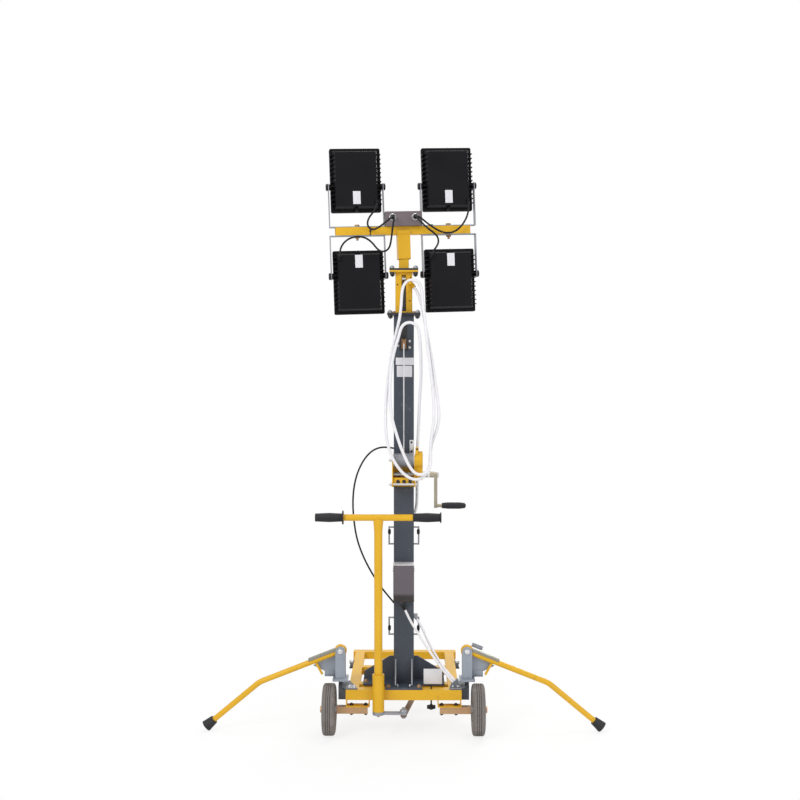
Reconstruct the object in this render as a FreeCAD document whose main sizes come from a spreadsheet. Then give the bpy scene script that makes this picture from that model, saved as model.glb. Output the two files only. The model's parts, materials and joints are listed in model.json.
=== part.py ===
"""Hand-pushed trolley light tower, modelled as a parametric document, in millimetres.

+X is to the right of a person who pushes the trolley, +Y is ahead and +Z is up.
The floor is at Z = 0, and the origin lies on it, under the middle of the machine.
"""

import FreeCAD, Part
import math
import os
import Sketcher

from FreeCAD import Placement, Rotation, Vector

# Every driving size: name, value, meaning. Lengths are in millimetres and angles in degrees.
SIZES = [
    # Chassis frame
    ("bar_side", 50.0, "near crossbar, side of the square tube"),
    ("bar_half_length", 283.0, "near crossbar, from the middle to either end"),
    ("bar_wall", 3.0, "wall of the frame tubes"),
    ("bar_ahead", -140.0, "near crossbar's centre line, ahead of the mast"),
    ("frame_top", 228.0, "top of the frame over the floor"),
    ("rail_width", 50.0, "side rails, width"),
    ("rail_depth", 40.0, "side rails and rear members, height of the tube"),
    ("rail_outside", 270.0, "side rails, from the middle to the outer face"),
    ("far_bar_front", 565.0, "far crossbar, front face ahead of the mast"),
    ("far_bar_width", 50.0, "far crossbar, width"),
    ("mid_bar_front", 250.0, "middle crossbar, front face ahead of the mast"),
    ("mid_bar_width", 40.0, "middle crossbar, width"),
    ("foot_bar_front", -65.0, "cross member under the mast foot, front face"),
    ("foot_bar_width", 50.0, "cross member under the mast foot, width"),
    # Mast foot
    ("foot_thick", 10.0, "mast foot plate, thickness"),
    ("foot_tongue", 90.0, "mast foot plate, half width of its tongue"),
    ("foot_half_width", 202.0, "mast foot plate, half width"),
    ("foot_shoulder", -93.0, "mast foot plate, where it widens"),
    ("foot_back", 100.0, "mast foot plate, back edge"),
    ("gusset_thick", 8.0, "side gussets, thickness"),
    ("gusset_top", 354.0, "side gussets, top"),
    ("gusset_low", 276.0, "side gussets, height at the outer end"),
    ("gusset_crest", 70.0, "side gussets, where the slope begins"),
    ("gusset_reach", 200.0, "side gussets, outer end"),
    ("rib_thick", 6.0, "front ribs, thickness"),
    ("rib_high", 110.0, "front ribs, height on the mast"),
    ("rib_long", 95.0, "front ribs, length on the plate"),
    ("rib_place", 40.0, "front ribs, from the middle"),
    # Mast
    ("mast_side", 100.0, "outer mast, side of the square tube"),
    ("mast_wall", 5.0, "outer mast, wall"),
    ("mast_top", 2060.0, "outer mast, top of the tube"),
    ("mast_round", 6.0, "outer mast, corner radius"),
    ("mid_side", 84.0, "middle mast, side of the square tube"),
    ("mid_wall", 5.0, "middle mast, wall"),
    ("mid_show", 211.0, "middle mast, length above the outer mast"),
    ("top_side", 50.0, "inner mast, side of the square tube"),
    ("top_wall", 3.0, "inner mast, wall"),
    ("neck_show", 67.5, "inner mast, length above the middle mast"),
    ("mast_start", 30.0, "inner tubes, height over the foot plate when lowered"),
    ("slide_gap", 0.3, "gap between a sliding tube and its guide"),
    ("slot_width", 22.0, "rope slot of the middle mast, width"),
    ("slot_length", 180.0, "rope slot of the middle mast, length"),
    ("slot_lift", 8.0, "rope slot of the middle mast, start above the guide"),
    ("guide_width", 164.0, "mast top guide plate, width"),
    ("guide_thick", 10.0, "guide plates, thickness"),
    ("collar_wide", 142.0, "middle mast flange, width"),
    ("collar_thick", 8.0, "flanges, thickness"),
    ("guide_bolt", 6.0, "guide plate bolts, radius"),
    ("guide_bolt_place", 68.0, "mast top guide, bolt from the middle"),
    ("collar_bolt_place", 58.0, "middle mast guide, bolt from the middle"),
    ("bolt_head", 7.0, "height of a bolt head or nut"),
    # Lamp head
    ("head_lean", 1.9, "lamp head, lean of its cross tube to the left"),
    ("head_turn", 8.0, "lamp head, turn to the left on its neck"),
    ("sleeve_side", 62.0, "lamp head sleeve, side"),
    ("sleeve_wall", 3.0, "lamp head sleeve, wall"),
    ("spigot_side", 42.0, "inner mast inside the sleeve, side"),
    ("tee_side", 40.0, "lamp head cross tube, side"),
    ("tee_half_length", 337.0, "lamp head cross tube, half length"),
    ("tee_rise", 141.5, "lamp head cross tube, axis over the inner mast"),
    ("tee_wall", 2.5, "lamp head cross tube, wall"),
    ("yoke_place", 229.0, "lamp yokes, from the middle"),
    ("yoke_width", 274.0, "lamp yokes, outside width"),
    ("yoke_thick", 4.0, "lamp yokes, thickness of the flat bar"),
    ("yoke_deep", 38.0, "lamp yokes, width of the flat bar"),
    ("yoke_pivot", 199.0, "lamp yokes, base to pivot"),
    ("yoke_tip", 19.0, "lamp yokes, radius of the arm ends"),
    ("yoke_bolt", 6.0, "lamp yoke bolt, radius"),
    ("lamp_width", 250.0, "floodlight, width"),
    ("lamp_high", 314.0, "floodlight, height"),
    ("lamp_near", 125.0, "floodlight, pivot to the edge beside the cross tube"),
    ("lamp_rim", 24.0, "floodlight, depth of the front rim"),
    ("lamp_back", 46.0, "floodlight, depth of the back cover"),
    ("lamp_slope", 12.0, "floodlight, how far the back cover tapers in"),
    ("lamp_round", 8.0, "floodlight, corner radius"),
    ("glass_inset", 14.0, "floodlight glass, margin to the rim"),
    ("glass_thick", 4.0, "floodlight glass, thickness"),
    ("glass_sunk", 2.0, "floodlight glass, depth below the rim"),
    ("led_room", 14.0, "floodlight, depth of the space behind the glass"),
    ("lug_radius", 15.0, "floodlight pivot knob, radius"),
    ("lug_thick", 9.0, "floodlight pivot knob, thickness"),
    ("fin_count", 12.0, "floodlight side fins, number"),
    ("fin_thick", 4.0, "floodlight side fins, thickness"),
    ("fin_gap", 22.0, "floodlight side fins, spacing"),
    ("fin_deep", 7.0, "floodlight side fins, how far they stand out"),
    ("junction_width", 182.0, "junction box, width"),
    ("junction_high", 70.0, "junction box, height"),
    ("junction_deep", 90.0, "junction box, depth"),
    ("junction_round", 5.0, "junction box, edge radius"),
    ("gland_place", 56.0, "junction box glands, from the middle"),
    ("gland_high", 42.0, "junction box glands, over the box's foot"),
    ("gland_radius", 12.0, "junction box glands, radius"),
    ("gland_long", 18.0, "junction box glands, length"),
    ("lead_boss", 7.0, "lamp lead entry, radius"),
    ("lead_boss_long", 22.0, "lamp lead entry, length"),
    # Winch on the mast
    ("winch_width", 114.0, "winch bracket, width"),
    ("winch_under", 59.0, "winch bracket, crank axis to its bottom"),
    ("winch_over", 25.0, "winch bracket, drum axis to its top"),
    ("winch_deep", 88.0, "winch bracket, depth of the cheeks"),
    ("winch_plate", 5.0, "winch bracket, plate"),
    ("drum_height", 1345.0, "winch drum axis, height"),
    ("drum_reach", 46.0, "winch drum axis, ahead of the mast face"),
    ("drum_radius", 32.0, "winch drum with its rope, radius"),
    ("drum_flange", 39.0, "winch drum, flange radius"),
    ("drum_flange_thick", 3.0, "winch drum, flange thickness"),
    ("crank_drop", 70.0, "crank axis, below the drum"),
    ("crank_shaft", 9.0, "crank shaft, radius"),
    ("crank_hub", 15.0, "crank hub, radius"),
    ("crank_arm", 153.0, "crank arm, axis to grip"),
    ("crank_arm_wide", 24.0, "crank arm, width"),
    ("crank_arm_thick", 16.0, "crank arm, thickness"),
    ("crank_out", 149.0, "crank arm, inner face from the mast's middle"),
    ("crank_pin_long", 22.0, "crank pin, bare length before the grip"),
    ("crank_grip_long", 118.0, "crank grip, length"),
    ("grip_waist", 3.0, "grips, how far the ends are thinner"),
    ("crank_grip_radius", 16.0, "crank grip, radius"),
    ("cover_thick", 35.0, "winch gear cover, thickness"),
    ("cover_low", 28.0, "winch gear cover, radius at the crank"),
    ("cover_high", 44.0, "winch gear cover, radius at the drum"),
    ("rope_radius", 3.0, "hoist rope, radius"),
    ("pulley_drop", 143.0, "rope pulley axis, below the mast top"),
    ("pulley_radius", 24.0, "rope pulley, radius"),
    ("pulley_thick", 12.0, "rope pulley, thickness"),
    ("pulley_cheek", 4.0, "rope pulley bracket, cheek thickness"),
    ("pulley_room", 1.0, "rope pulley, gap to its cheeks"),
    # Control box and cable loops
    ("control_width", 102.0, "control box, width"),
    ("control_deep", 91.0, "control box, depth"),
    ("control_low", 645.0, "control box, bottom"),
    ("control_corner", 688.0, "control box, where the face begins"),
    ("control_top", 834.0, "control box, top"),
    ("control_round", 4.0, "control box, edge radius"),
    ("control_gland", 10.0, "control box gland, radius"),
    ("control_gland_long", 38.0, "control box gland, length"),
    ("loop_out", 28.0, "cable hooks, how far they stand out"),
    ("loop_rod", 4.0, "cable hooks, radius of the rod"),
    ("loop_high", 960.0, "upper cable hooks, height of the middle"),
    ("loop_low", 505.0, "lower cable hooks, height of the middle"),
    ("loop_half", 42.0, "cable hooks, half height"),
    # Steering
    ("tiller_left", 122.5, "tiller axis, left of the middle, and steering arm length"),
    ("tiller_ahead", -193.0, "tiller axis, ahead of the mast"),
    ("tiller_radius", 20.0, "tiller tube, radius"),
    ("tiller_flare", 5.0, "tiller tube, how much wider it is under the handlebar"),
    ("tiller_flare_long", 64.0, "tiller tube, length of its flare"),
    ("tiller_top", 1075.0, "tiller handlebar, height of its axis"),
    ("tiller_bar", 16.0, "tiller handlebar, radius"),
    ("tiller_half", 305.0, "tiller handlebar, half length"),
    ("grip_long", 137.0, "handlebar grips, length"),
    ("grip_radius", 22.5, "handlebar grips, radius"),
    ("grip_flange", 33.5, "handlebar grip flange, radius"),
    ("socket_radius", 28.5, "tiller sleeve, radius"),
    ("socket_gap", 0.1, "tiller sleeve, running gap"),
    ("socket_low", 133.0, "tiller sleeve, bottom"),
    ("socket_high", 312.0, "tiller sleeve, top"),
    ("arm_thick", 12.0, "steering arms, thickness"),
    ("arm_wide", 34.0, "steering arms, width"),
    ("collar_high", 4.0, "black ring under the tiller sleeve, height"),
    ("link_wide", 25.0, "drag link, width"),
    ("link_thick", 10.0, "drag link, thickness"),
    ("link_pin", 6.0, "drag link pins, radius"),
    ("pin_gap", 0.08, "drag link pins, running gap"),
    ("seat_gap", 0.3, "gap between a moving piece and its seat"),
    ("king_ahead", 590.0, "steered wheel's kingpin, ahead of the mast"),
    ("king_radius", 12.0, "kingpin, radius"),
    ("caster_radius", 65.0, "steered wheel, radius"),
    ("caster_wide", 48.0, "steered wheel, width"),
    ("caster_rim", 46.0, "steered wheel, radius of its centre"),
    ("fork_thick", 6.0, "fork plate, thickness"),
    ("fork_wide", 44.0, "fork cheeks, width"),
    ("fork_gap", 5.0, "fork, gap to the wheel"),
    # Rolling wheels
    ("wheel_radius", 125.0, "wheels, radius"),
    ("wheel_wide", 73.0, "wheels, width"),
    ("wheel_out", 365.0, "wheels, centre from the middle"),
    ("rim_radius", 72.0, "wheel rims, radius"),
    ("tyre_shoulder", 12.0, "tyre shoulder, width"),
    ("tyre_drop", 5.0, "tyre shoulder, drop"),
    ("rim_lip", 8.0, "wheel centre, lip"),
    ("axle_side", 34.0, "stub axle bar, side"),
    ("axle_inner", 177.0, "stub axle bar, inner end"),
    ("axle_radius", 10.0, "stub axle pin, radius"),
    ("axle_gap", 0.1, "wheel hub, running gap"),
    ("hat_inner", 166.0, "axle hanger, inner end"),
    ("hat_outer", 282.0, "axle hanger, outer end"),
    ("hat_plate", 5.0, "axle hanger, plate"),
    # Outriggers
    ("swivel_out", 312.5, "outrigger swivel axis, from the middle"),
    ("swivel_ahead", -81.0, "outrigger swivel axis, ahead of the mast"),
    ("mount_outer", 322.0, "outrigger mounting block, outer face"),
    ("mount_low", 165.0, "outrigger mounting block, bottom"),
    ("mount_half", 30.0, "outrigger mounting block, half length"),
    ("mount_boss", 10.5, "outrigger mounting block, radius of its boss"),
    ("flange_low", 257.0, "outrigger head flange, bottom"),
    ("flange_thick", 11.0, "outrigger head flange, thickness"),
    ("flange_wide", 75.0, "outrigger head flange, width"),
    ("flange_long", 90.0, "outrigger head flange, length"),
    ("swivel_pin", 8.0, "outrigger swivel bolt, radius"),
    ("strap_wide", 49.0, "outrigger head strap, width"),
    ("strap_thick", 6.0, "outrigger head strap, thickness"),
    ("pivot_high", 400.0, "outrigger lift pivot, height"),
    ("pivot_pin", 6.0, "outrigger lift pivot, radius"),
    ("leg_radius", 14.0, "outrigger leg tube, radius"),
    ("leg_wall", 2.5, "outrigger leg tube, wall"),
    ("bend_out", 715.0, "outrigger leg, its bend from the middle"),
    ("bend_high", 242.0, "outrigger leg, height of its bend"),
    ("bend_radius", 120.0, "outrigger leg, radius of its bend"),
    ("tip_slope", 39.7, "outrigger leg, slope of its outer run"),
    ("pad_radius", 28.0, "outrigger foot, radius"),
    ("pad_long", 52.0, "outrigger foot, length"),
    ("pad_neck", 21.0, "outrigger foot, radius at the tube"),
    ("saddle_thick", 3.0, "outrigger leg saddle, thickness"),
    ("saddle_long", 150.0, "outrigger leg saddle, length"),
    ("quadrant_thick", 5.0, "outrigger quadrant plate, thickness"),
    ("quadrant_out", 137.5, "outrigger quadrant plate, tip from the swivel axis"),
    ("quadrant_high", 320.0, "outrigger quadrant plate, height of its tip"),
    ("quadrant_low", 293.5, "outrigger quadrant plate, height of its lower corner"),
    ("quadrant_back", 81.5, "outrigger quadrant plate, lower corner from the swivel axis"),
    ("leg_room", 4.5, "gap between the leg and the plates beside it"),
    ("peg_radius", 10.5, "leg stowage peg, radius"),
    ("peg_ahead", 370.0, "leg stowage peg, ahead of the mast"),
    ("peg_long", 21.0, "leg stowage peg, length"),
    # Cables
    ("mast_cable", 7.5, "white mast cable, radius"),
    ("side_cable", 4.5, "black side cable, radius"),
    ("power_lead", 6.0, "white power leads, radius"),
    ("lamp_lead", 4.6, "lamp leads, radius"),
    ("mast_gland", 10.0, "glands on the mast, radius"),
    ("mast_gland_long", 18.0, "glands on the mast, length"),
    ("clip_width", 26.0, "cable clip on the middle mast, width"),
    ("clip_deep", 22.0, "cable clip on the middle mast, depth"),
    ("hook_radius", 6.0, "cable hook on the middle mast, radius"),
    ("hook_long", 58.0, "cable hook on the middle mast, length"),
    ("hook_out", 31.0, "cable hook on the middle mast, from the middle"),
    ("hook_height", 2213.9, "cable hook on the middle mast, height"),
    ("entry_width", 28.0, "rear cable entry, width"),
    ("entry_high", 37.0, "rear cable entry, height"),
    ("cleat_left", 226.0, "power lead cleat, left edge"),
    ("cleat_long", 50.0, "power lead cleat, length of its foot"),
    ("cleat_wide", 40.0, "power lead cleat, width of its foot"),
    ("cleat_block", 24.0, "power lead cleat, width of its block"),
    ("cleat_ahead", -134.0, "power lead cleat, middle ahead of the mast"),
    # Small fittings
    ("bolt_spread", 1.6, "a bolt's head or nut to its shank"),
    ("arm_slim", 0.6, "a steering arm's bar to its eye"),
    ("link_head", 10.0, "drag link pins, radius of the head"),
    ("tiller_nut", 12.0, "nut under the tiller, radius"),
    ("fork_axle", 8.0, "steered wheel's axle, radius"),
    ("knob_hub", 12.6, "clamp screw knob, radius of its hub"),
    ("knob_lobe", 8.4, "clamp screw knob, radius of a lobe"),
    ("fin_reach", 34.5, "floodlight side fins, depth"),
    ("corner_thick", 6.0, "corner plates, thickness"),
    ("corner_inner", 225.0, "corner plates, inner corner from the middle"),
    ("corner_back", -20.0, "corner plates, back corner ahead of the mast"),
    ("knob_out", 135.0, "clamp screw, from the middle"),
    ("knob_radius", 21.0, "clamp screw knob, radius"),
    ("knob_thick", 16.0, "clamp screw knob, thickness"),
    ("knob_low", 130.0, "clamp screw knob, bottom"),
    ("screw_radius", 4.0, "clamp screw, radius"),
    ("screw_above", 20.0, "clamp screw, length above the bar"),
]

doc = FreeCAD.newDocument("LightTower")
sheet = doc.addObject("Spreadsheet::Sheet", "Sizes")


class Num:
    """A number, and the expression that works it out from the sheet."""

    def __init__(self, value, text):
        self.value = value
        self.text = text

    def __float__(self):
        return self.value

    def __neg__(self):
        return Num(-self.value, "(-1 * " + self.text + ")")

    def __add__(self, other):
        other = num(other)
        return Num(self.value + other.value, "(" + self.text + " + " + other.text + ")")

    def __sub__(self, other):
        other = num(other)
        return Num(self.value - other.value, "(" + self.text + " - " + other.text + ")")

    def __mul__(self, other):
        other = num(other)
        return Num(self.value * other.value, "(" + self.text + " * " + other.text + ")")

    def __truediv__(self, other):
        other = num(other)
        return Num(self.value / other.value, "(" + self.text + " / " + other.text + ")")

    def __radd__(self, other):
        return num(other) + self

    def __rsub__(self, other):
        return num(other) - self

    def __rmul__(self, other):
        return num(other) * self


def num(x):
    return x if isinstance(x, Num) else Num(float(x), "(" + repr(float(x)) + ")")


class Sheet:
    """The sheet's cells by name."""


s = Sheet()
for row, (alias, value, meaning) in enumerate(SIZES, 1):
    sheet.set("A" + str(row), meaning)
    sheet.set("B" + str(row), str(value))
    sheet.setAlias("B" + str(row), alias)
    setattr(s, alias, Num(value, "Sizes." + alias))
doc.recompute()

# The mast stands behind the origin, so that the origin is under the middle of the machine.
FRONT = s.bar_ahead - s.wheel_radius
BACK = s.king_ahead + s.caster_radius
MAST_Y = -(FRONT + BACK) / 2
ZERO = num(0)
X_AXIS = Vector(1, 0, 0)
Y_AXIS = Vector(0, 1, 0)
Z_AXIS = Vector(0, 0, 1)
# Share of the shorter run that an arc of a cable takes.
RUN_SHARE = 0.45
# Sides of a cable's plain section.
CABLE_SIDES = 10
# Two unit directions count as one when their dot product is over this.
ALONG = 0.999
TURNS = {
    "x": Rotation(Y_AXIS, 90),
    "y": Rotation(X_AXIS, -90),
    "z": Rotation(),
}


MID_TOP = s.mast_top + s.mid_show
NECK_TOP = MID_TOP + s.neck_show
TEE_CENTRE = NECK_TOP + s.tee_rise
CRANK_Z = s.drum_height - s.crank_drop
PULLEY_Z = s.mast_top - s.pulley_drop


def ahead(distance):
    """The Y of what lies this far ahead of the mast's axis."""
    return MAST_Y + distance


def bind(obj, **values):
    """Ties properties to the sheet; two underscores stand for a dot in a property's path."""
    for name, value in values.items():
        obj.setExpression(name.replace("__", "."), num(value).text)


def place(obj, x, y, z, turn=None):
    if turn is not None:
        obj.Placement = Placement(Vector(), turn)
    bind(obj, Placement__Base__x=x, Placement__Base__y=y, Placement__Base__z=z)
    return obj


def named(kind, name):
    obj = doc.addObject(kind, name)
    obj.Label = name
    return obj


def block(name, low, high):
    """A box between two corners."""
    obj = named("Part::Box", name)
    size = [num(h) - num(l) for l, h in zip(low, high)]
    bind(obj, Length=size[0], Width=size[1], Height=size[2])
    return place(obj, *low)


def rod(name, radius, start, along, length):
    """A cylinder from its start, along x, y or z."""
    obj = named("Part::Cylinder", name)
    bind(obj, Radius=radius, Height=length)
    return place(obj, *start, turn=TURNS[along])


def spoke(name, radius, end, way, length):
    """A cylinder that points along way and ends at a point of the mast's frame."""
    obj = named("Part::Cylinder", name)
    bind(obj, Radius=radius, Height=length)
    obj.Placement = Placement(Vector(), Rotation(Z_AXIS, way))
    x, y, z = end
    back = way * -1
    return place(
        obj, num(x) + length * back.x, MAST_Y + y + length * back.y, num(z) + length * back.z,
        turn=Rotation(Z_AXIS, way),
    )


def cone(name, low_radius, high_radius, start, along, length):
    obj = named("Part::Cone", name)
    bind(obj, Radius1=low_radius, Radius2=high_radius, Height=length)
    return place(obj, *start, turn=TURNS[along])


def fuse(name, pieces):
    obj = named("Part::MultiFuse", name)
    obj.Shapes = pieces
    obj.Refine = True
    return obj


def group(name, pieces):
    """Pieces of one body that don't touch, kept as solids of one node."""
    obj = named("Part::Compound", name)
    obj.Links = pieces
    return obj


def cut(name, base, tools):
    obj = named("Part::Cut", name)
    obj.Base = base
    obj.Tool = tools[0] if len(tools) == 1 else group(name + "_holes", tools)
    return obj


def mirrored(name, source):
    """The same piece on the other side of the machine."""
    obj = named("Part::Mirroring", name)
    obj.Source = source
    obj.Normal = X_AXIS
    return obj


def plane(body, role):
    for feature in body.Origin.OriginFeatures:
        if feature.Role == role:
            return feature
    raise ValueError(role)


def sketch(body, name, role, loops, offset=0):
    """A sketch on one of a body's own planes: each loop a list of corners, or (x, y, radius)."""
    obj = body.newObject("Sketcher::SketchObject", name)
    obj.AttachmentSupport = [(plane(body, role), "")]
    obj.MapMode = "FlatFace"
    bind(obj, AttachmentOffset__Base__z=offset)
    for loop in loops:
        if isinstance(loop, tuple):
            x, y, radius = [num(v) for v in loop]
            centre = Vector(float(x), float(y), 0)
            i = obj.addGeometry(Part.Circle(centre, Z_AXIS, float(radius)), False)
            wanted = [("DistanceX", 3, x), ("DistanceY", 3, y)]
            for kind, at, value in wanted:
                c = obj.addConstraint(Sketcher.Constraint(kind, -1, 1, i, at, float(value)))
                obj.setExpression("Constraints[%d]" % c, value.text)
            c = obj.addConstraint(Sketcher.Constraint("Radius", i, float(radius)))
            obj.setExpression("Constraints[%d]" % c, radius.text)
            continue
        corners = [(num(x), num(y)) for x, y in loop]
        points = [Vector(float(x), float(y), 0) for x, y in corners]
        ends = points[1:] + points[:1]
        lines = [obj.addGeometry(Part.LineSegment(a, b), False) for a, b in zip(points, ends)]
        for i, after in zip(lines, lines[1:] + lines[:1]):
            obj.addConstraint(Sketcher.Constraint("Coincident", i, 2, after, 1))
        for i, (x, y) in zip(lines, corners):
            for kind, value in (("DistanceX", x), ("DistanceY", y)):
                c = obj.addConstraint(Sketcher.Constraint(kind, -1, 1, i, 1, float(value)))
                obj.setExpression("Constraints[%d]" % c, value.text)
    return obj


def body_of(name):
    obj = doc.addObject("PartDesign::Body", name)
    obj.Label = name
    return obj


def pad(body, name, profile, length, both=False, back=False):
    obj = body.newObject("PartDesign::Pad", name)
    obj.Profile = profile
    obj.Midplane = both
    obj.Reversed = back
    bind(obj, Length=length)
    return obj


def pocket(body, name, profile, length=None, both=False, back=False):
    """A cut into the body; with no length it goes right through."""
    obj = body.newObject("PartDesign::Pocket", name)
    obj.Profile = profile
    obj.Midplane = both
    obj.Reversed = back
    if length is None:
        obj.Type = "ThroughAll"
    else:
        bind(obj, Length=length)
    return obj


def turned(body, name, profile, axis):
    """A full turn of a profile about the sketch's own H_Axis or V_Axis."""
    obj = body.newObject("PartDesign::Revolution", name)
    obj.Profile = profile
    obj.ReferenceAxis = (profile, [axis])
    obj.Angle = 360
    return obj


def rounded(body, name, base, radius, pick):
    """A fillet on the edges that pick(edge) chooses, found once the body is made."""
    doc.recompute()
    edges = [
        "Edge%d" % (i + 1) for i, edge in enumerate(base.Shape.Edges) if pick(edge)
    ]
    obj = body.newObject("PartDesign::Fillet", name)
    obj.Base = (base, edges)
    bind(obj, Radius=radius)
    return obj


def runs(edge, axis):
    """Whether a straight edge runs along an axis."""
    if edge.Curve.TypeId != "Part::GeomLine":
        return False
    d = edge.Curve.Direction
    return abs(d.dot(axis)) > ALONG


def square_tube(name, side, wall, low, high, radius, y):
    """An upright square tube with rounded corners."""
    body = body_of(name)
    half = side / 2
    inner = half - wall
    shell = sketch(body, name + "_outline", "XY_Plane", [square(half)])
    tube = pad(body, name + "_pad", shell, high - low)
    rounded(body, name + "_round", tube, radius, lambda e: runs(e, Z_AXIS))
    hollow = sketch(body, name + "_bore", "XY_Plane", [square(inner)])
    pocket(body, name + "_hollow", hollow, back=True)
    place(body, ZERO, y, low)
    return body


def square(half):
    return [(-half, -half), (half, -half), (half, half), (-half, half)]


# The cables' routes: x, distance ahead of the mast, height. The lamp leads' are taken before
# the lamp head leans.
ROUTES = {
    "mast_cable": [
        (51.6, -56.9, 2194.6), (70, -62, 2168), (88, -76, 2110), (106, -94, 2006), (137, -114, 1850),
        (158, -128, 1700), (174, -133, 1580), (168, -140, 1520), (154, -144, 1474), (137, -147, 1434),
        (129, -150, 1380), (127, -152, 1322), (108, -154, 1276), (68, -154, 1252), (22, -154, 1264),
        (-22, -154, 1304), (-64, -153, 1374), (-89, -149, 1474), (-88, -141, 1630), (-72, -130, 1790),
        (-48, -117, 1925), (-20, -106, 2036), (-12, -98, 2112), (-10, -90, 2164), (-3, -87, 2201),
        (18, -83, 2226), (51, -83, 2231), (78, -86, 2213), (90, -92, 2174), (92, -101, 2118),
        (104, -114, 2030), (115, -122, 1910), (134, -134, 1772), (145, -141, 1650), (149, -152, 1556),
        (136, -161, 1476), (129, -168, 1404), (132, -172, 1342), (123, -172, 1304), (98, -172, 1282),
        (67, -172, 1281), (40, -172, 1301), (16, -172, 1344), (-10, -171, 1402), (-34, -167, 1472),
        (-62, -161, 1570), (-69, -153, 1690), (-62, -145, 1800), (-44, -137, 1890), (-25, -132, 1948),
        (-14, -127, 1994), (6, -126, 2016), (34, -124, 2021), (60, -119, 2009), (74, -112, 1984),
        (80, -101, 1932), (84, -84, 1858), (86, -64, 1750), (78, -44, 1640), (74, -28, 1520),
        (68, -20, 1400), (68, -8, 1270), (66, 10, 1185), (66, 44, 1112), (54, 70, 1060), (30, 84, 1020),
        (11, 82, 980), (8, 76, 942), (8, 76, 905),
    ],
    "side_cable": [
        (-4, 68, 1376), (-4, 106, 1376), (-28, 136, 1382), (-70, 148, 1391), (-122, 138, 1394),
        (-172, 120, 1372), (-216, 104, 1316), (-248, 91, 1236), (-261, 80, 1138), (-256, 73, 1030),
        (-238, 76, 920), (-200, 88, 820), (-154, 104, 733), (-106, 122, 660), (-69, 140, 612),
        (-40, 152, 574), (-19, 150, 542), (-8, 132, 518), (-4, 99, 507), (-4, 68, 507),
    ],
    "front_lead": [
        (0, -76, 617.7), (26, -83, 558), (68, -93, 494), (122, -117, 413), (178, -130, 336),
        (214, -134, 290), (241, -134, 258),
    ],
    "back_lead": [
        (64, -26, 547), (90, -27, 508), (118, -47, 442), (156, -80, 381), (195, -114, 326),
        (226, -134, 295.5), (250.6, -134, 266.3),
    ],
    "lead_upper_left": [
        (-61, -63, 2542), (-61, -88, 2542), (-75, -106, 2528), (-104, -100, 2507), (-131, -80, 2488),
        (-154, -64, 2480), (-175, -53, 2489), (-183, -49, 2513), (-174, -49, 2540), (-156, -52, 2562),
        (-141, -54, 2582), (-134, -54, 2604),
    ],
    "lead_lower_left": [
        (-51, -63, 2542), (-51, -88, 2542), (-57, -105, 2524), (-64, -104, 2488), (-69, -97, 2448),
        (-74, -87, 2414), (-80, -78, 2390), (-97, -70, 2373), (-122, -63, 2373), (-142, -56, 2391),
        (-160, -49, 2418), (-190, -43, 2444), (-232, -38, 2453), (-276, -38, 2442), (-306, -46, 2416),
        (-321, -53, 2386), (-324, -54, 2356),
    ],
    "lead_upper_right": [
        (61, -63, 2542), (61, -88, 2542), (77, -106, 2528), (108, -95, 2504), (140, -74, 2486),
        (172, -56, 2470), (210, -48, 2459), (254, -47, 2465), (290, -50, 2496), (315, -53, 2536),
        (325, -54, 2574), (324, -54, 2604),
    ],
    "lead_lower_right": [
        (51, -63, 2542), (51, -88, 2542), (63, -107, 2523), (92, -101, 2494), (122, -82, 2473),
        (150, -65, 2456), (167, -56, 2436), (168, -53, 2411), (155, -53, 2389), (142, -54, 2374),
        (135, -54, 2356),
    ],
}


def start_way(name):
    """The direction in which a cable leaves its first point."""
    a, b = [Vector(*point) for point in ROUTES[name][:2]]
    return (b - a).normalize()


def end_way(name):
    """The direction in which a cable reaches its last point."""
    a, b = [Vector(*point) for point in ROUTES[name][-2:]]
    return (b - a).normalize()


nodes = {}


def keep(obj):
    """Marks a finished sub-part; its label names its file."""
    nodes[obj.Label] = obj
    return obj


# Chassis frame: welded square tubes, a little like a ladder seen from above.
BAR_Y = ahead(s.bar_ahead)
BAR_FRONT = BAR_Y - s.bar_side / 2
BAR_BACK = BAR_Y + s.bar_side / 2
RAIL_LOW = s.frame_top - s.rail_depth
RAIL_INSIDE = s.rail_outside - s.rail_width
FAR_FRONT = ahead(s.far_bar_front)
TILLER = (-s.tiller_left, ahead(s.tiller_ahead))


def tube_across(name, half, front, back, low, high):
    """A crossbar with its hollow end to end."""
    outer = block(name + "_skin", (-half, front, low), (half, back, high))
    wall = s.bar_wall
    bore = block(
        name + "_bore", (-half, front + wall, low + wall), (half, back - wall, high - wall)
    )
    return cut(name, outer, [bore])


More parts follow.
